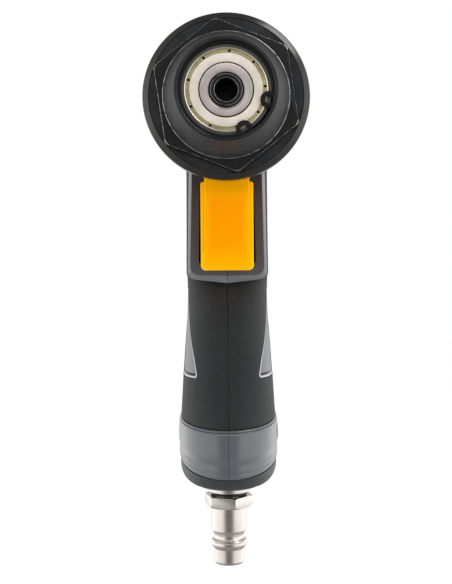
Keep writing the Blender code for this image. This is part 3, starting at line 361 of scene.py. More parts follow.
def make_materials():
    # Turned metal: name, colour, roughness, metallic, and where they differ vary, rings and depth
    tint = (0.62, 0.62, 0.63, 1.0)
    turned_surface("black_steel", (0.034, 0.035, 0.037), 0.40, 0.85, 0.3, 2600.0, 0.006, Specular_Tint=tint)
    turned_surface("rim_steel", (0.062, 0.058, 0.056), 0.25, 0.9, 0.12, 7000.0, 0.002)
    turned_surface("bearing_steel", (0.56, 0.53, 0.52), 0.26, 1.0, 0.07, 6000.0, 0.001)
    turned_surface("inner_ring", (0.49, 0.44, 0.42), 0.34, 0.5, 0.2, 2200.0, 0.002)
    # The bearing's outer race: dark steel, painted shade under the circlip
    turned_surface("outer_race_shaded", (0.09, 0.086, 0.07), 0.36, 0.8, 0.1, 6000.0, 0.0006)
    # A painted highlight: the thin bright line on the outer race's front corner
    turned_surface("highlight_line", (0.88, 0.86, 0.82), 0.30, 1.0, 0.05, 3000.0, 0.0006)
    turned_surface("zinc_shield", (0.79, 0.73, 0.63), 0.40, 0.35, 0.14, 1500.0, 0.004)
    # The shield's groove: a darker, yellower copy of the shield's colour, painted shade in the recess
    turned_surface("zinc_groove_shade", (0.42, 0.36, 0.17), 0.36, 0.5, 0.35, 2200.0, 0.006)
    turned_surface("spindle_steel", (0.032, 0.031, 0.030), 0.36, 0.9, 0.15, 7000.0, 0.002)
    # The spindle's socket: a near-black copy of the spindle's steel, painted shade inside the hole
    turned_surface("socket_shade", (0.004, 0.004, 0.004), 0.6, 0.2, 0.2, 3000.0, 0.004)
    turned_surface("gear_steel", (0.42, 0.41, 0.40), 0.32, 1.0, 0.10)
    turned_surface("turned_aluminium", (0.58, 0.59, 0.60), 0.34, 1.0, 0.06)
    turned_surface("nickel", (0.70, 0.645, 0.60), 0.24, 1.0, 0.04, 3500.0, 0.0012)
    turned_surface("brass", (0.62, 0.43, 0.17), 0.30, 1.0)

    # Metal with other finishes: the same, with blotch and grain in place of rings
    tint = (0.5, 0.5, 0.5, 1.0)
    plain_surface(
        "cone_steel", (0.052, 0.052, 0.053), 0.5, 0.45, 0.5, 1300.0, 1300.0, 0.03, Specular_Tint=tint
    )
    plain_surface(
        "black_flat", (0.007, 0.007, 0.008), 0.55, 0.0, 0.18, 300.0, 1500.0, 0.006, Specular_IOR_Level=0.25
    )
    plain_surface("clip_steel", (0.006, 0.006, 0.007), 0.5, 0.0, 0.2, Specular_IOR_Level=0.2)
    plain_surface("cast_aluminium", (0.50, 0.51, 0.52), 0.48, 1.0, 0.08, 140.0, 1100.0, 0.02)
    # The hexagon's edges: black finish rubbed through, with a painted highlight where the edges catch light
    worn_and_highlit_surface("worn_and_highlit_edge", (0.16, 0.15, 0.14), (0.95, 0.92, 0.88), 0.32)
    # Chamfers on the spindle's end and the line at the cone's base: painted highlights only
    worn_and_highlit_surface("soft_highlight_edge", (0.10, 0.10, 0.10), (0.42, 0.42, 0.42), 0.40, 500.0)

    # The grip and the trigger
    # The collar's front face: darker and browner towards its top, painted shade under the flange
    foot_and_top = ((-0.052, (0.072, 0.076, 0.082)), (-0.024, (0.054, 0.044, 0.047)))
    height_shaded_surface("frame_face", foot_and_top, 0.55, 0.15)
    # The collar's bevel: a lighter copy of the collar's dark plastic, brighter towards its top, a painted
    # highlight
    foot_and_top = ((-0.046, (0.130, 0.134, 0.146)), (-0.022, (0.24, 0.235, 0.25)))
    height_shaded_surface("frame_bevel_highlight", foot_and_top, 0.38, 0.5)
    # The soft rubber: darker towards its top, a painted shadow under the collar
    foot_and_top = ((-0.066, (0.0135, 0.0145, 0.0155)), (-0.0545, (0.009, 0.009, 0.009)))
    height_shaded_surface("soft_rubber", foot_and_top, 0.62, 0.34, 0.09)
    # The collar's sides: a darker copy of the collar's plastic, painted shade
    plain_surface(
        "frame_side_shade", (0.012, 0.012, 0.013), 0.60, 0.0, 0.05, 90.0, 3000.0, 0.004, Specular_IOR_Level=0.12
    )
    plain_surface(
        "grey_plastic", (0.090, 0.092, 0.106), 0.24, 0.0, 0.04, 80.0, 3600.0, 0.0004, Coat_Weight=0.5
    )
    plain_surface("accent_plastic", (0.135, 0.135, 0.15), 0.36, 0.0, 0.03, 80.0, 3600.0, 0.001)
    plain_surface("bead_plastic", (0.50, 0.50, 0.52), 0.30, 0.0, 0.03, 80.0, 3600.0, 0.002)
    plain_surface("black_plastic", (0.027, 0.030, 0.032), 0.46, 0.0, 0.06, 120.0, 2400.0, 0.006)
    painted_light_plastic()

    # Inner pieces
    plain_surface("seal_rubber", (0.012, 0.012, 0.012), 0.6, 0.0, 0.2)
    plain_surface("cage_nylon", (0.34, 0.25, 0.12), 0.6, 0.0)
    plain_surface("vane_fibre", (0.13, 0.075, 0.035), 0.7, 0.0, 0.25, 400.0, 900.0, 0.02)
    plain_surface("felt", (0.42, 0.41, 0.38), 0.95, 0.0, 0.2, 700.0, 1500.0, 0.15)
    plain_surface("gasket_paper", (0.10, 0.13, 0.09), 0.85, 0.0, 0.15, 500.0, 1500.0, 0.02)


# ---- mesh makers


def finish_mesh(name, bm, matrix, materials, angle=40):
    mesh = bpy.data.meshes.new(name)
    bm.to_mesh(mesh)
    bm.free()
    mesh.shade_smooth()
    mesh.set_sharp_from_angle(angle=math.radians(angle))
    for material in materials:
        mesh.materials.append(MATERIALS[material])
    obj = bpy.data.objects.new(name, mesh)
    bpy.context.scene.collection.objects.link(obj)
    obj.matrix_world = matrix
    return obj


def rounded(points, steps, closed=True):
    """A path with its corners rounded.

    Each point is (x, y), and after them, where they aren't 0, come the corner's radius, the material slot of
    its rounding and the slot of the side that follows. The result is (x, y, slot of the side that follows).
    """
    made = []
    count = len(points)
    for i, point in enumerate(points):
        x, y, radius, slot, after = (*point, 0, 0, 0)[:5]
        if radius <= 0 or (not closed and i in (0, count - 1)):
            made.append((x, y, after))
            continue
        here = Vector((x, y))
        to_last = Vector(points[i - 1][:2]) - here
        to_next = Vector(points[(i + 1) % count][:2]) - here
        bend = to_last.angle(to_next)
        reach = min(radius / math.tan(bend / 2), to_last.length * 0.49, to_next.length * 0.49)
        radius = reach * math.tan(bend / 2)
        to_last.normalize()
        to_next.normalize()
        middle = here + (to_last + to_next).normalized() * (radius / math.sin(bend / 2))
        start = here + to_last * reach - middle
        turn = start.angle_signed(here + to_next * reach - middle)
        for k in range(steps + 1):
            spot = middle + Matrix.Rotation(-turn * k / steps, 2) @ start
            made.append((spot.x, spot.y, slot if k < steps else after))
    return made


def lathe(name, outline, matrix, materials=(), sides=FINE, steps=5):
    """Spins an outline of (radius, height, ...) round Z. One that starts on the axis makes a solid rod."""
    solid = outline[0][0] <= 0
    path = rounded(outline, steps, closed=not solid)
    bm = bmesh.new()
    rings = []
    for radius, height, _ in path:
        if radius <= 1e-6:
            rings.append([bm.verts.new((0.0, 0.0, height * MM))])
            continue
        ring = []
        for i in range(sides):
            a = TURN * i / sides
            ring.append(bm.verts.new((radius * math.cos(a) * MM, radius * math.sin(a) * MM, height * MM)))
        rings.append(ring)
    last = len(path) - 1 if solid else len(path)
    for k in range(last):
        lower, upper = rings[k], rings[(k + 1) % len(rings)]
        for i in range(sides):
            j = (i + 1) % sides
            below = [lower[i % len(lower)], lower[j % len(lower)]]
            above = [upper[j % len(upper)], upper[i % len(upper)]]
            corners = list(dict.fromkeys(below + above))
            if len(corners) > 2:
                bm.faces.new(corners).material_index = path[k][2]
    bmesh.ops.recalc_face_normals(bm, faces=bm.faces)
    return finish_mesh(name, bm, matrix, materials)


def prism(name, outline, low, high, matrix, materials=()):
    bm = bmesh.new()
    floor = [bm.verts.new((p[0] * MM, p[1] * MM, low * MM)) for p in outline]
    roof = [bm.verts.new((p[0] * MM, p[1] * MM, high * MM)) for p in outline]
    bm.faces.new(floor)
    bm.faces.new(roof)
    for i in range(len(outline)):
        j = (i + 1) % len(outline)
        bm.faces.new((floor[i], floor[j], roof[j], roof[i]))
    bmesh.ops.recalc_face_normals(bm, faces=bm.faces)
    return finish_mesh(name, bm, matrix, materials)


def rod(name, radius, low, high, matrix, sides=ROUND):
    return lathe(name, ((0.0, low), (radius, low), (radius, high), (0.0, high)), matrix, sides=sides)


def loft(name, rings, matrix, materials, slots=None, angle=40):
    """Skins rings of equal point count and closes both ends. slots gives each span's material index."""
    bm = bmesh.new()
    loops = [[bm.verts.new([value * MM for value in point]) for point in ring] for ring in rings]
    count = len(rings[0])
    for k, (lower, upper) in enumerate(zip(loops, loops[1:])):
        for i in range(count):
            j = (i + 1) % count
            face = bm.faces.new((lower[i], lower[j], upper[j], upper[i]))
            face.material_index = slots[k] if slots else 0
    bm.faces.new(loops[0])
    bm.faces.new(loops[-1])
    bmesh.ops.recalc_face_normals(bm, faces=bm.faces)
    return finish_mesh(name, bm, matrix, materials, angle)


def box(left, right, bottom, top):
    return ((left, bottom), (right, bottom), (right, top), (left, top))


def hexagon(corner, start=0.0):
    """Six points at the corner radius, the first of them start degrees round."""
    angles = [math.radians(start) + TURN * i / 6 for i in range(6)]
    return [(corner * math.cos(a), corner * math.sin(a)) for a in angles]


def combine(obj, add=(), keep=(), cut=()):
    """Joins pieces on, keeps only what lies inside others, cuts others away, then removes all of them."""
    others = (*add, *keep, *cut)
    operations = ["UNION"] * len(add) + ["INTERSECT"] * len(keep) + ["DIFFERENCE"] * len(cut)
    for operation, other in zip(operations, others):
        modifier = obj.modifiers.new(other.name, "BOOLEAN")
        modifier.operation = operation
        modifier.object = other
        modifier.solver = "MANIFOLD"
    settle(obj)
    obj.data.set_sharp_from_angle(angle=math.radians(40))
    for other in others:
        mesh = other.data
        bpy.data.objects.remove(other)
        bpy.data.meshes.remove(mesh)


def settle(obj):
    """Makes a piece's modifiers part of its mesh."""
    bpy.context.view_layer.update()
    graph = bpy.context.evaluated_depsgraph_get()
    shown = obj.evaluated_get(graph)
    mesh = bpy.data.meshes.new_from_object(shown, preserve_all_data_layers=True, depsgraph=graph)
    old = obj.data
    obj.modifiers.clear()
    obj.data = mesh
    bpy.data.meshes.remove(old)


def soften(obj, width, slot=-1, segments=2, angle=35, shade=40):
    """Bevels the edges that are sharper than the angle, then shades smooth up to the shade angle."""
    modifier = obj.modifiers.new("painted_light_share", "BEVEL")
    modifier.width = width * MM
    modifier.segments = segments
    modifier.limit_method = "ANGLE"
    modifier.angle_limit = math.radians(angle)
    modifier.material = slot
    settle(obj)
    obj.data.shade_smooth()
    obj.data.set_sharp_from_angle(angle=math.radians(shade))


def place(obj, body, node):
    """Rides a finished piece on its body and hides the CAD node it stands for."""
    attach(obj, body)
    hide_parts(node)


def other_half(name, side, seam=SEAM):
    """Everything past the middle, to be cut away from the half on this side."""
    low, high = (-seam, 70.0) if side == "left" else (-70.0, seam)
    return prism(name, box(-30.0, 130.0, -150.0, 60.0), low, high, side_frame())


def grown(outline, distance):
    """Moves every side of an outline outward by a distance."""
    points = [point[:2] for point in outline]
    area = sum(x0 * y1 - x1 * y0 for (x0, y0), (x1, y1) in zip(points, points[1:] + points[:1]))
    sign = math.copysign(1.0, area)
    moved = []
    for i, (x, y) in enumerate(points):
        before = points[i - 1]
        after = points[(i + 1) % len(points)]
        normals = []
        for (x0, y0), (x1, y1) in ((before, (x, y)), ((x, y), after)):
            length = math.hypot(x1 - x0, y1 - y0)
            normals.append((sign * (y1 - y0) / length, sign * (x0 - x1) / length))
        mean_x = normals[0][0] + normals[1][0]
        mean_y = normals[0][1] + normals[1][1]
        scale = 2 * distance / (mean_x**2 + mean_y**2)
        moved.append((x + mean_x * scale, y + mean_y * scale))
    return moved


def smooth_between(rows, height):
    """Reads a table of (height, values...) at a height, on a curve through its rows."""
    rows = sorted(rows)
    height = min(max(height, rows[0][0]), rows[-1][0])
    k = max(i for i in range(len(rows) - 1) if rows[i][0] <= height)
    start, end = rows[k], rows[k + 1]
    before, after = rows[max(k - 1, 0)], rows[min(k + 2, len(rows) - 1)]
    span = end[0] - start[0]
    t = (height - start[0]) / span
    values = []
    for a, b, c, d in zip(before[1:], start[1:], end[1:], after[1:]):
        slope_in = (c - a) / (end[0] - before[0]) * span
        slope_out = (d - b) / (after[0] - start[0]) * span
        values.append(
            (2 * t**3 - 3 * t**2 + 1) * b
            + (t**3 - 2 * t**2 + t) * slope_in
            + (3 * t**2 - 2 * t**3) * c
            + (t**3 - t**2) * slope_out
        )
    return values


def oval_ring(height, half_width, front, rear, squareness, slope=0.0):
    """A superellipse whose front and rear depths differ, on a plane that rises backward by the slope."""
    ring = []
    power = 2 / squareness
    for i in range(FINE):
        a = TURN * i / FINE
        across = math.copysign(abs(math.cos(a)) ** power, math.cos(a))
        along = math.copysign(abs(math.sin(a)) ** power, math.sin(a))
        depth = (rear if along > 0 else front) * along
        ring.append((half_width * across, depth, height + slope * depth))
    return ring


def station_ring(stations, height, inset=0.0, slope=0.0):
    half_width, front, rear, squareness = smooth_between(stations, height)
    return oval_ring(height, half_width - inset, front - inset, rear - inset, squareness, slope)


def handle_loft(name, top, foot, inset, materials=(), spans=36):
    heights = [top + (foot - top) * i / spans for i in range(spans + 1)]
    rings = [station_ring(HANDLE_STATIONS, height, inset) for height in heights]
    return loft(name, rings, handle_frame(), materials)


# ---- front housing and bearing


def build_front_housing():
    matrix = spindle_frame()
    outline = (
        (13.35, 15.9, 0.15),
        (13.75, 16.3, 0.15),
        (14.4, 16.3, 0.3, 0, 4),
        # The short side after this corner carries a painted highlight: the thin bright line at the cone's
        # base
        (18.0, 2.14, 0.0, 0, 2),
        (18.18, 2.03),
        (18.18, 1.7),
        (18.0, 1.7),
        (18.0, -0.4),
        (22.1, -0.4, 0.0, 0, 3),
        (22.2, 0.0, 0.15, 3, 3),
        (24.0, -1.6, 0.5, 3, 3),
        (24.0, -6.0, 0.4, 3),
        (18.0, -6.0),
        (18.0, -16.0, 0.3),
        (15.3, -16.0, 0.3),
        (15.3, 3.9),
        (11.4, 3.9),
        (11.4, 5.6, 0.2),
        (13.3, 5.6),
        (13.3, 13.95),
        (14.0, 13.95),
        (14.0, 15.3),
        (13.35, 15.3),
    )
    materials = ("black_steel", "worn_and_highlit_edge", "soft_highlight_edge", "rim_steel", "cone_steel")
    body = lathe("front_housing_turning", outline, matrix, materials, FINEST)
    place(body, "housing", "front_housing")
    corners = hexagon(HEXAGON_HALF / math.cos(TURN / 12), HEXAGON_START)
    nut = prism("front_housing_hexagon", corners, -1.0, 2.0, matrix, ("black_flat", "worn_and_highlit_edge"))
    chamfer = ((0.0, -2.0), (22.15, -2.0), (22.15, 1.55), (21.6, 2.05), (21.6, 2.4), (0.0, 2.4))
    chamfer = lathe("cut_hexagon_corners", chamfer, matrix, sides=FINEST)
    core = rod("cut_hexagon_core", 16.6, -3.0, 6.0, matrix)
    combine(nut, keep=[chamfer], cut=[core])
    # The bevelled edges take the second material: wear with a painted highlight
    soften(nut, 0.17, slot=1, segments=1, angle=25)
    place(nut, "housing", "front_housing")


def build_circlip():
    matrix = spindle_frame()
    first, last = math.radians(-14.6), math.radians(-66.0)
    spans = 160
    angles = [first + (TURN + last - first) * i / spans for i in range(spans + 1)]
    outer = [(13.9 * math.cos(a), 13.9 * math.sin(a)) for a in angles]
    inner = [(12.7 * math.cos(a), 12.7 * math.sin(a)) for a in reversed(angles)]
    clip = prism("front_circlip_ring", outer + inner, CLIP_BACK, CLIP_FRONT, matrix, ("clip_steel",))
    ears = []
    holes = []
    for i, angle in enumerate((first, last)):
        spot = matrix @ shift(CLIP_EAR_CIRCLE * math.cos(angle), CLIP_EAR_CIRCLE * math.sin(angle), 0.0)
        ears.append(rod(f"clip_ear_{i}", 2.35, CLIP_BACK, CLIP_FRONT, spot))
        holes.append(rod(f"clip_hole_{i}", 1.08, 10.0, 20.0, spot))
    rim = rod("clip_rim", 13.78, 10.0, 20.0, matrix, FINEST)
    combine(clip, add=ears, keep=[rim], cut=holes)
    soften(clip, 0.12)
    place(clip, "housing", "front_circlip")


def build_front_bearing():
    matrix = spindle_frame() @ shift(0.0, 0.0, BEARING_MIDDLE)
    outer = (
        (11.32, 4.0, 0.3, 1),
        (13.0, 4.0, 0.4),
        (13.0, -4.0, 0.4),
        (11.3, -4.0, 0.12),
        (11.3, -1.2),
        (11.5, -0.4),
        (11.5, 0.4),
        (11.3, 1.2),
    )
    # The outer race's dark colour is painted shade, and the bright line on its front corner's rounding is a
    # painted highlight
    ring = lathe("front_bearing_race_outer", outer, matrix, ("outer_race_shaded", "highlight_line"))
    place(ring, "housing", "front_bearing_outer_ring")
    inner = (
        (7.4, 4.0, 0.12),
        (7.4, 2.1),
        (6.6, 0.8),
        (6.6, -0.8),
        (7.4, -2.1),
        (7.4, -4.0, 0.12),
        (5.55, -4.0, 0.1),
        (5.0, -3.45, 0.1),
        (5.0, 3.45, 0.1),
        (5.62, 4.0, 0.25),
    )
    ring = lathe("front_bearing_race_inner", inner, matrix, ("inner_ring",))
    place(ring, "spindle", "front_bearing_inner_ring")
    shield = (
        (7.72, 3.45, 0.1),
        (10.25, 3.5, 0.15, 0),
        (10.45, 2.95, 0.1, 1, 1),
        (11.12, 2.95, 0.1, 1, 1),
        (11.25, 3.5, 0.0),
        (11.29, 3.5, 0.0),
        (11.29, 2.6),
        (7.72, 2.9),
    )
    # The groove's second material is painted shade
    plate = lathe("front_bearing_plate_front", shield, matrix, ("zinc_shield", "zinc_groove_shade"))
    notches = []
    for i in range(SHIELD_NOTCHES):
        spot = matrix @ Matrix.Rotation(math.radians(5.0 + 360.0 / SHIELD_NOTCHES * i), 4, "Z")
        notches.append(prism(f"notch_{i}", box(10.4, 11.2, -0.32, 0.32), 2.4, 4.0, spot))
    combine(plate, cut=notches)
    place(plate, "housing", "front_bearing_front_shield")
    rear = [(point[0], -point[1], *point[2:]) for point in shield]
    plate = lathe("front_bearing_plate_rear", rear, matrix, ("zinc_shield", "zinc_groove_shade"))
    place(plate, "housing", "front_bearing_rear_shield")


def build_spindle():
    outline = (
        (0.0, 2.5, 0.0, 0, 1),
        (3.0, 2.5, 0.0, 0, 1),
        (3.0, 13.0, 0.1, 0),
        (3.35, 13.45, 0.12, 2),
        (3.75, 13.45, 0.06),
        (3.85, 13.32, 0.05),
        (3.95, 13.45, 0.05),
        (4.45, 13.45, 0.15, 2),
        (4.85, 13.0, 0.15),
        (4.85, 5.6),
        (7.0, 5.6, 0.2),
        (7.0, 3.6, 0.2),
        (12.5, 3.6, 0.3),
        (12.5, -0.3, 0.3),
        (0.0, -0.3),
    )
    # The third material paints soft highlight rings on the end's chamfers
    shaft = lathe("spindle_shaft", outline, spindle_frame(), ("spindle_steel", "socket_shade", "soft_highlight_edge"))
    holes = []
    for i in range(3):
        a = TURN / 4 + TURN * i / 3
        spot = spindle_frame() @ shift(PIN_CIRCLE * math.cos(a), PIN_CIRCLE * math.sin(a), 0.0)
        holes.append(rod(f"pin_hole_{i}", 1.56, -3.0, 6.0, spot, sides=32))
    combine(shaft, cut=holes)
    place(shaft, "spindle", "spindle")


# ---- trigger


def build_trigger():
    matrix = spindle_frame()
    material = ("orange_plastic",)
    corners = [(-7.75, -49.6, 1.4), (7.75, -49.6, 1.4), (7.75, -23.6, 0.7), (-7.75, -23.6, 0.7)]
    plate = prism("trigger_button", rounded(corners, 6), -15.4, -12.95, matrix, material)
    soften(plate, 0.5, segments=4, angle=50)
    left = [(-6.6, -22.2, 0.5), (-6.6, -43.0, 1.5), (-7.6, -45.0, 1.5), (-7.6, -49.6, 1.4)]
    outline = rounded(left + [(-x, z, r) for x, z, r in reversed(left)], 6)
    pad = prism("trigger_pad", outline, -14.4, -11.02, matrix, material)
    soften(pad, 0.8, segments=5, angle=50)
    body = prism("trigger_body", box(-7.2, 7.2, -47.8, -24.2), -24.0, -14.8, matrix, material)
    socket = rod("cut_trigger_socket", 1.7, -26.0, -21.3, spindle_frame(0.0, VALVE_LEVEL))
    combine(plate, add=[pad, body], cut=[socket])
    plate.data.set_sharp_from_angle(angle=math.radians(50))
    place(plate, "trigger", "trigger")


# ---- grip shells


def trigger_opening():
    half = [
        (-6.95, -14.0),
        (-6.95, -23.3, 0.3),
        (-8.1, -23.3, 0.5),
        (-8.5, -47.0, 1.0),
        (-7.0, -48.4, 1.0),
    ]
    outline = rounded(half + [(-x, *rest) for x, *rest in reversed(half)], 4)
    return prism("cut_trigger_opening", outline, -34.5, -15.0, spindle_frame())


def barrel_cavity(name):
    """The motor's space in the barrel, to be cut away."""
    return rod(name, 19.0, -76.2, -10.0, spindle_frame())


def side_opening(radius):
    """The opening in the soft cover, as (back, height) with rounded corners."""
    corners = [(x, y, radius) for x, y in SIDE_PANEL[:SIDE_PANEL_ROUNDED]]
    return rounded(corners + list(SIDE_PANEL[SIDE_PANEL_ROUNDED:]), 5)


def frame_ring(back, top_half, foot_half, foot, middle, radius, setback=0.0):
    """One ring of the collar round the trigger, seen from the front, with its lower corners rounded.

    The setback moves its foot backward.
    """
    half = [(top_half, -8.0), (foot_half, foot, radius)]
    path = rounded([(0.0, middle)] + [(-x, *rest) for x, *rest in reversed(half)] + half, 8)
    ring = []
    for x, z, _ in path:
        share = min(max((-z - 46.0) / 6.0, 0.0), 1.0)
        ring.append((x, back + setback * share * share * (3 - 2 * share), z))
    return ring


def build_collar(side):
    matrix = shift(0.0, FLANGE_PLANE, 0.0)
    rings = (
        frame_ring(38.9, 11.4, 11.5, -50.6, -51.6, 2.4),
        frame_ring(38.5, 12.25, 12.4, -51.6, -52.6, 2.4),
        frame_ring(38.1, 12.4, 12.55, -51.8, -52.8, 2.4),
        frame_ring(33.0, 12.15, 12.5, -52.1, -53.2, 2.4),
        frame_ring(26.0, 11.7, 12.2, -52.1, -53.3, 2.4),
        frame_ring(21.8, 11.1, 11.9, -52.0, -53.3, 2.2, 1.2),
        frame_ring(21.0, 10.2, 11.08, -50.9, -51.15, 2.6),
    )
    # The face, bevel and sides are one dark plastic in three colours: painted shade on the face's top and on
    # the sides, a painted highlight on the bevel
    materials = ("frame_face", "frame_bevel_highlight", "frame_side_shade")
    collar = loft(f"grip_shell_{side}_collar", rings, matrix, materials, (2, 2, 2, 2, 2, 1))
    barrel = rod("cut_collar_barrel", 20.4, -60.0, -10.0, spindle_frame())
    combine(collar, cut=[trigger_opening(), barrel, other_half("cut_half", side)])
    soften(collar, 0.12)
    place(collar, "housing", f"grip_shell_{side}")


def screw_recesses(numbers):
    """The recesses for the shell screws' heads in the right-hand half."""
    cuts = []
    for i in numbers:
        back, height, head, _ = SHELL_SCREWS[i]
        recess = ((0.0, -1.0), (1.7, -1.0), (1.7, head), (2.9, head), (2.9, 40.0), (0.0, 40.0))
        cuts.append(lathe(f"cut_recess_{i}", recess, across_frame(back, height), sides=COARSE))
    return cuts


def finish_half(obj, side, recesses, edge):
    """Keeps one side of a moulding, cuts its screw recesses, bevels its edges and places it."""
    cuts = [other_half("cut_half", side)]
    if side == "right":
        cuts += screw_recesses(recesses)
    combine(obj, cut=cuts)
    if edge:
        soften(obj, edge)
    place(obj, "housing", f"grip_shell_{side}")


def build_barrel(side):
    outline = (
        (0.0, -18.7),
        (20.8, -18.7, 0.3),
        (21.0, -19.6, 0.3),
        (21.0, -26.2, 0.3),
        (20.6, -26.6, 0.2),
        (20.6, -27.2, 0.2),
        (21.0, -27.6, 0.3),
        (21.0, -42.0, 60.0),
        (20.3, -70.0, 12.0),
        (18.2, -81.5, 6.0),
        (12.5, -85.0, 5.0),
        (0.0, -85.0),
    )
    barrel = lathe(f"grip_shell_{side}_barrel", outline, spindle_frame(), ("grey_plastic",), steps=8)
    cavity = barrel_cavity("cut_barrel_cavity")
    vents = []
    for i, reach in enumerate((8.5, 11.5, 12.5, 11.5, 8.5)):
        spot = spindle_frame() @ shift(0.0, 7.5 - 3.75 * i, 0.0)
        slot = [(x, z, 0.55) for x, z in box(-reach, reach, -0.6, 0.6)]
        vents.append(prism(f"cut_rib_{i}", rounded(slot, 4), -90.0, -84.2, spot))
    combine(barrel, cut=[cavity, *vents])
    finish_half(barrel, side, (2, 3), 0.0)


def build_neck(side):
    heights = [-96.0 + 2.0 * i for i in range(39)] + [-19.0 + i for i in range(6)]
    rings = []
    for height in heights:
        half_width, front, rear, squareness = smooth_between(HANDLE_STATIONS, height)
        flare = 0.10 * max(0.0, height + 20.0) ** 2
        half_width += flare
        rear += flare
        rings.append(oval_ring(height, half_width - 0.45, front - 0.5, rear - 0.45, squareness))
    neck = loft(f"grip_shell_{side}_neck", rings, handle_frame(), ("grey_plastic",))
    region = prism("cut_neck_region", side_opening(1.2), -30.0, 30.0, side_frame())
    below = prism("cut_below_neck", box(0.0, 100.0, -120.0, -53.4), -30.0, 30.0, side_frame())
    inside = handle_loft("cut_neck_inside", -2.0, -99.0, 2.8)
    barrel = barrel_cavity("cut_neck_barrel")
    combine(neck, keep=[region], cut=[below, inside, barrel, trigger_opening()])
    finish_half(neck, side, (2,), 0.15)


def build_core(side):
    """The plain moulding under the soft covers, which shows only as the floor of the grooves."""
    core = handle_loft(f"grip_shell_{side}_core", -8.0, -100.0, 2.2, ("black_plastic",))
    inside = handle_loft("cut_core_inside", -7.0, -101.0, 3.6)
    barrel = barrel_cavity("cut_core_barrel")
    combine(core, cut=[inside, barrel, trigger_opening()])
    finish_half(core, side, (0, 2), 0.0)


def build_inlay(side):
    """The side panel, the groove round it and the bright bead that borders the groove.

    Each part has a material, an inset from the handle's outline, its outer and inner distance from the edge,
    and the width of its bevel.
    """
    edge = rounded([(x, y, 1.6) for x, y in SIDE_INLAY], 6)
    parts = (
        ("bead", "bead_plastic", 0.2, 0.0, -0.58, 0.22),
        ("panel", "accent_plastic", 0.55, -1.4, None, 0.16),
    )
    for part, material, inset, outer, inner, bevel in parts:
        piece = handle_loft(f"grip_shell_{side}_{part}", -40.0, -99.0, inset, (material,), 48)
        region = prism("cut_edge", grown(edge, outer), -30.0, 30.0, side_frame())
        cuts = []
        if inner is not None:
            cuts.append(prism("cut_inner", grown(edge, inner), -31.0, 31.0, side_frame()))
        cuts.append(handle_loft("cut_inlay_inside", -30.0, -99.5, 2.6))
        combine(piece, keep=[region], cut=cuts)
        finish_half(piece, side, (0,), bevel)


def build_band(side):
    """The glossy band: a rounded lip, a fine groove, the bowed wall and a thin rim at its sloping foot.

    The profile is (height, inset from the band's outline).
    """
    profile = [(-95.9, 2.2), (-95.9, 0.6), (-95.95, 0.3), (-96.05, 0.12), (-96.2, 0.02), (-96.35, 0.02)]
    profile += [(-96.46, 0.1), (-96.5, 0.45), (-96.7, 0.45), (-96.74, 0.1), (-96.86, 0.0)]
    profile += [(-97.4 - 0.7 * i, 0.0) for i in range(9)]
    profile += [(-103.4, 0.06), (-103.9, 0.16), (-104.4, 0.22), (-104.8, 0.18), (-105.2, 0.07), (-105.6, 0.0)]
    profile += [(-106.1, 0.02), (-106.2, 0.14), (-106.5, 0.14), (-106.62, 0.02), (-106.8, -0.02)]
    profile += [(-107.3, -0.02), (-107.55, 0.06), (BAND_FOOT, 0.3), (BAND_FOOT, 2.2)]
    rings = []
    for height, inset in profile:
        share = min(max((height - BAND_WALL) / (BAND_FOOT - BAND_WALL), 0.0), 1.0)
        rings.append(station_ring(BAND_STATIONS, height, inset, FOOT_SLOPE * share))
    band = loft(f"grip_shell_{side}_band", rings, handle_frame(), ("grey_plastic",), angle=30)
    inside = handle_loft("cut_band_inside", -80.0, -130.0, 3.6)
    combine(band, cut=[inside])
    finish_half(band, side, (1,), 0.0)


def build_soft_cover(side):
    outer = handle_loft(f"grip_cover_{side}_skin", -20.0, -95.62, 0.0, ("soft_rubber",), 60)
    inner = handle_loft("cut_cover_inside", -5.0, -101.0, 1.9)
    region = prism("cut_side_panel", grown(side_opening(1.6), 0.2), -30.0, 30.0, side_frame())
    far_half = other_half("cut_half", side, RUBBER_SEAM)
    combine(outer, cut=[inner, region, far_half])
    soften(outer, 0.22, segments=3, shade=50)
    place(outer, "housing", f"grip_cover_{side}")


def build_shell_screws():
    for i, (back, height, head, tip) in enumerate(SHELL_SCREWS):
        outline = (
            (0.0, tip),
            (0.9, tip),
            (1.3, tip + 0.6),
            (1.3, head + 0.2),
            (2.5, head + 0.2, 0.1),
            (2.5, head + 1.3, 0.3),
            (1.9, head + 1.9, 0.5),
            (0.0, head + 2.0),
        )
        matrix = across_frame(back, height)
        screw = lathe(f"shell_screw_{i + 1}_fine", outline, matrix, ("gear_steel",), ROUND)
        combine(screw, cut=[prism("cut_socket", hexagon(1.25), head + 0.7, head + 3.0, matrix)])
        place(screw, "housing", f"shell_screw_{i + 1}")


# ---- base cap and air inlet


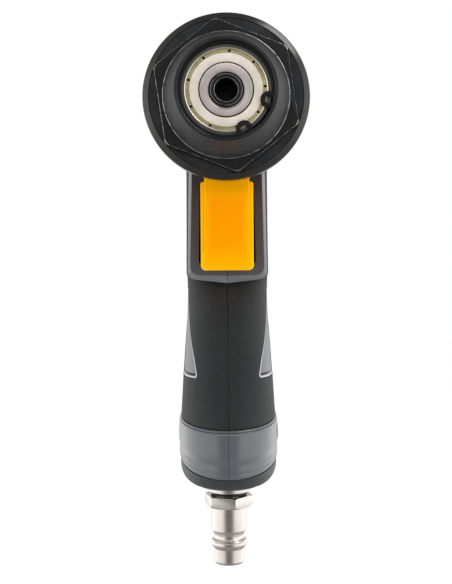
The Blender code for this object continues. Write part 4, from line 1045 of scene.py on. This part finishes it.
def build_base_cap():
    """The base cap, with rings closer together where it curves in."""
    handle = handle_frame()
    plug = plug_frame()
    heights = [-102.0, -104.0, -106.0, -108.0, -109.5, -110.6, -111.6, -112.4, -113.1, -113.7, -114.2, -114.6]
    heights += [-115.0, -115.4, -115.7, -115.95, -116.15, -116.3, -116.4, -116.45]
    rings = [station_ring(CAP_STATIONS, height) for height in heights]
    cap = loft("base_cap_shell", rings, handle, ("black_plastic",))
    below = handle @ shift(0.0, 0.0, BAND_FOOT - 0.3) @ Matrix.Rotation(math.atan(FOOT_SLOPE), 4, "X")
    region = prism("cut_cap_top", box(-40, 40, -60, 60), -60.0, 0.0, below)
    cuts = [rod("cut_cap_boss", 9.4, 35.5, 70.0, plug), rod("cut_cap_inlet", 7.05, 20.0, 50.0, plug)]
    for x in (-8.0, -4.0, 0.0, 4.0, 8.0):
        slot = rounded([(a, b, 0.85) for a, b in box(x - 0.9, x + 0.9, -17.0, -11.0)], 4)
        cuts.append(prism(f"cut_slot_{x}", slot, -125.0, -100.0, handle))
    for i, (x, depth) in enumerate(CAP_SCREW_SPOTS):
        hole = ((0.0, -130.0), (2.7, -130.0), (2.7, -113.0), (1.6, -113.0), (1.6, -95.0), (0.0, -95.0))
        cuts.append(lathe(f"cut_cap_hole_{i}", hole, handle @ shift(x, depth, 0.0), sides=COARSE))
    combine(cap, keep=[region], cut=cuts)
    soften(cap, 0.22)
    place(cap, "housing", "base_cap")


def build_base_cap_screws():
    for i, (x, depth) in enumerate(CAP_SCREW_SPOTS):
        matrix = handle_frame() @ shift(x, depth, 0.0)
        outline = (
            (0.0, -114.85),
            (1.7, -114.8, 0.5),
            (2.3, -114.3, 0.3),
            (2.3, -113.2, 0.1),
            (1.3, -113.2),
            (1.3, -95.2),
            (0.9, -94.6),
            (0.0, -94.6),
        )
        screw = lathe(f"base_cap_screw_{i + 1}_fine", outline, matrix, ("gear_steel",), ROUND)
        combine(screw, cut=[prism("cut_socket", hexagon(1.15), -117.0, -113.7, matrix)])
        place(screw, "housing", f"base_cap_screw_{i + 1}")


def build_inlet():
    plug = plug_frame()
    bushing = (
        (5.1, 24.0),
        (6.3, 24.0, 0.2),
        (6.7, 24.4, 0.2),
        (6.7, 47.4),
        (3.6, 47.4),
        (3.6, 35.6),
        (5.1, 35.6),
    )
    place(lathe("inlet_bushing_fine", bushing, plug, ("nickel",)), "housing", "inlet_bushing")
    seal = ((5.1, 23.15), (5.8, 23.15, 0.25), (5.8, 23.85, 0.25), (5.1, 23.85))
    place(lathe("plug_seal", seal, plug, ("seal_rubber",)), "housing", "plug_sealing_ring")
    outline = (
        (3.5, 0.15, 0.1),
        (3.7, 0.0, 0.1),
        (4.4, 0.0, 0.25),
        (4.95, 0.85, 0.35),
        (4.95, 5.2, 0.5),
        (5.75, 6.1, 0.6),
        (6.02, 6.75, 0.3),
        (6.02, 7.45, 0.3),
        (5.6, 8.15, 0.4),
        (4.8, 8.6, 0.5),
        (4.8, 9.8, 0.7),
        (5.88, 11.4, 0.5),
        (5.88, 20.2),
        (4.8, 20.2),
        (4.8, 34.6),
        (3.5, 34.6),
    )
    turning = lathe("air_plug_turning", outline, plug, ("nickel",), sides=160)
    place(turning, "housing", "air_plug")
    nut = prism("air_plug_hexagon", hexagon(7.0 / math.cos(TURN / 12), -74.5), 19.3, 23.0, plug, ("nickel",))
    chamfer = ((0.0, 18.9), (6.6, 18.9), (8.2, 20.2, 0.5), (8.2, 22.6, 0.3), (7.4, 23.3), (0.0, 23.3))
    chamfer = lathe("cut_nut_corners", chamfer, plug, sides=160)
    combine(nut, keep=[chamfer], cut=[rod("cut_nut_core", 4.7, 10.0, 30.0, plug)])
    soften(nut, 0.1, angle=20)
    place(nut, "housing", "air_plug")


def build_casting():
    """The body casting, with its machined collar behind the front housing."""
    matrix = spindle_frame()
    outline = (
        (0.0, -6.3),
        (20.8, -6.3, 0.2),
        (21.3, -6.8, 0.2),
        (21.3, -17.8, 0.2),
        (20.8, -18.3, 0.2),
        (18.7, -18.3),
        (18.7, -75.0, 0.8),
        (17.7, -76.0, 0.5),
        (0.0, -76.0),
    )
    casting = lathe("body_casting_fine", outline, matrix, ("cast_aluminium",))
    column = rounded([(x, y, 2.0) for x, y in box(-8.0, 8.0, -10.0, 13.0)], 5)
    boss = ((0.0, 36.0), (9.0, 36.0), (9.0, 58.0), (7.8, 62.0), (7.8, 95.0), (0.0, 95.0))
    valve = ((0.0, -60.2), (6.3, -60.2), (7.9, -56.2), (7.9, -40.0), (0.0, -40.0))
    bore = ((0.0, 0.0), (18.2, 0.0), (18.2, -16.2), (16.5, -16.2), (16.5, -72.0), (0.0, -72.0))
    inlet = ((0.0, 30.0), (6.9, 30.0), (6.9, 48.0), (3.6, 48.0), (3.6, 112.0), (0.0, 112.0))
    level = spindle_frame(0.0, VALVE_LEVEL)
    below = shift(0.0, FLANGE_PLANE, 0.0)
    added = [
        prism("guide_column", column, -104.0, -4.0, handle_frame()),
        lathe("guide_boss", boss, plug_frame()),
        lathe("guide_valve_boss", valve, level),
    ]
    cuts = [
        lathe("cut_bore", bore, matrix),
        rod("cut_valve_bore", 5.0, -58.6, -25.0, level),
        lathe("cut_inlet", inlet, plug_frame()),
        prism("cut_exhaust", box(-9.5, 9.5, 50.0, 57.0), -26.5, -10.0, below),
    ]
    combine(casting, add=added, cut=cuts)
    place(casting, "housing", "body_casting")


# ---- inner pieces that keep their CAD shape

INNER_MATERIALS = {
    "front_bearing_cage": "cage_nylon",
    "front_bearing_ball_": "bearing_steel",
    "planet_gear_": "gear_steel",
    "planet_pin_": "bearing_steel",
    "ring_gear": "gear_steel",
    "rotor_vane_": "vane_fibre",
    "rotor_front_": "bearing_steel",
    "rotor_rear_": "bearing_steel",
    "rotor": "gear_steel",
    "cylinder_liner": "gear_steel",
    "motor_gasket": "gasket_paper",
    "motor_": "turned_aluminium",
    "valve_bushing": "brass",
    "valve_stem": "brass",
    "valve_washer": "seal_rubber",
    "valve_spring": "bearing_steel",
    "stem_o_ring": "seal_rubber",
    "inlet_filter_screen": "gear_steel",
    "exhaust_muffler": "felt",
}


def dress_inner_nodes():
    """Gives each CAD node that still shows the material of the longest prefix that its name starts with."""
    for name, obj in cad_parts.items():
        if obj.hide_render:
            continue
        found = [prefix for prefix in INNER_MATERIALS if name.startswith(prefix)]
        material = MATERIALS[INNER_MATERIALS[max(found, key=len)]]
        if not obj.material_slots:
            obj.data.materials.append(material)
        for slot in obj.material_slots:
            slot.material = material


# ---- stage, light and camera


def build_stage():
    material = bpy.data.materials.new("pale_floor")
    material.use_nodes = True
    shader = material.node_tree.nodes["Principled BSDF"]
    shader.inputs["Base Color"].default_value = (FLOOR_GREY, FLOOR_GREY, FLOOR_GREY, 1.0)
    shader.inputs["Roughness"].default_value = 0.9
    shader.inputs["Emission Color"].default_value = (1.0, 1.0, 1.0, 1.0)
    shader.inputs["Emission Strength"].default_value = FLOOR_GLOW
    bm = bmesh.new()
    for x, y in box(-FLOOR_REACH, FLOOR_REACH, -FLOOR_REACH, FLOOR_REACH):
        bm.verts.new((x, y, FLOOR_LEVEL))
    bm.faces.new(bm.verts)
    mesh = bpy.data.meshes.new("floor")
    bm.to_mesh(mesh)
    bm.free()
    mesh.materials.append(material)
    floor = bpy.data.objects.new("floor", mesh)
    bpy.context.scene.collection.objects.link(floor)
    floor.visible_glossy = False


def build_world():
    """Soft studio surroundings: bright walls to the left and right, dimmer above and on the camera's side.

    Each ramp runs between two values of the direction's part along an axis. The camera itself sees white.
    """
    world = bpy.data.worlds.new("studio")
    bpy.context.scene.world = world
    world.use_nodes = True
    tree = world.node_tree
    background = tree.nodes["Background"]
    coordinates = tree.nodes.new("ShaderNodeTexCoord")
    axes = tree.nodes.new("ShaderNodeSeparateXYZ")
    tree.links.new(coordinates.outputs["Generated"], axes.inputs["Vector"])
    x, y, z = axes.outputs

    def ramp(source, start, end, low, high):
        return map_range(tree, source, start, end, low, high, "SMOOTHSTEP")

    def multiply(first, *others):
        for other in others:
            first = calculate(tree, "MULTIPLY", first, other)
        return first

    sideways = calculate(tree, "ABSOLUTE", x, 0.0)
    upright = calculate(tree, "ABSOLUTE", z, 0.0)
    toward_camera = multiply(y, -1.0)
    walls = ramp(sideways, 0.28, 0.7, WORLD_BASE, WORLD_SIDE)
    ceiling = ramp(upright, 0.2, 0.6, 1.0, WORLD_TOP)
    shade = ramp(toward_camera, 0.72, 0.93, 1.0, WORLD_FRONT)
    narrow = multiply(ramp(sideways, 0.12, 0.36, 1.0, 0.0), ramp(toward_camera, 0.0, 0.3, 0.0, 1.0))
    low_strip = multiply(narrow, ramp(z, -0.15, 0.1, 1.0 - WORLD_STRIP, 0.0))
    strip = calculate(tree, "SUBTRACT", 1.0, low_strip)
    level = multiply(walls, ceiling, shade, strip)
    path = tree.nodes.new("ShaderNodeLightPath")
    mix = tree.nodes.new("ShaderNodeMix")
    tree.links.new(path.outputs["Is Camera Ray"], mix.inputs["Factor"])
    tree.links.new(level, mix.inputs[2])
    mix.inputs[3].default_value = 1.0
    tree.links.new(mix.outputs[0], background.inputs["Strength"])
    background.inputs["Color"].default_value = (1.0, 1.0, 1.0, 1.0)


def add_softbox(name, location, target, width, height, power):
    light = bpy.data.lights.new(name, "AREA")
    light.shape = "RECTANGLE"
    light.size = width
    light.size_y = height
    light.energy = power
    obj = bpy.data.objects.new(name, light)
    bpy.context.scene.collection.objects.link(obj)
    obj.location = location
    obj.rotation_euler = (Vector(target) - Vector(location)).to_track_quat("-Z", "Y").to_euler()


def build_camera():
    camera = bpy.data.cameras.new("camera")
    camera.lens = CAMERA_LENS
    camera.sensor_width = 36.0
    camera.clip_start = 0.01
    obj = bpy.data.objects.new("camera", camera)
    bpy.context.scene.collection.objects.link(obj)
    obj.location = CAMERA_PLACE
    obj.rotation_euler = (TURN / 4, CAMERA_ROLL, 0.0)
    bpy.context.scene.camera = obj


make_materials()
build_front_housing()
build_circlip()
build_front_bearing()
build_spindle()
build_trigger()
for half in ("left", "right"):
    build_collar(half)
    build_barrel(half)
    build_neck(half)
    build_core(half)
    build_inlay(half)
    build_band(half)
    build_soft_cover(half)
build_shell_screws()
build_base_cap()
build_base_cap_screws()
build_inlet()
build_casting()
dress_inner_nodes()
build_stage()
build_world()
add_softbox("softbox_upper_right", (0.52, -0.12, 0.66), (0.0, 0.0, 0.0), 0.42, 0.42, 2.75)
add_softbox("softbox_front", (0.0, -1.1, 0.35), (0.0, 0.0, -0.05), 1.5, 0.3, 2.45)
build_camera()
bpy.context.scene.view_settings.view_transform = "Standard"
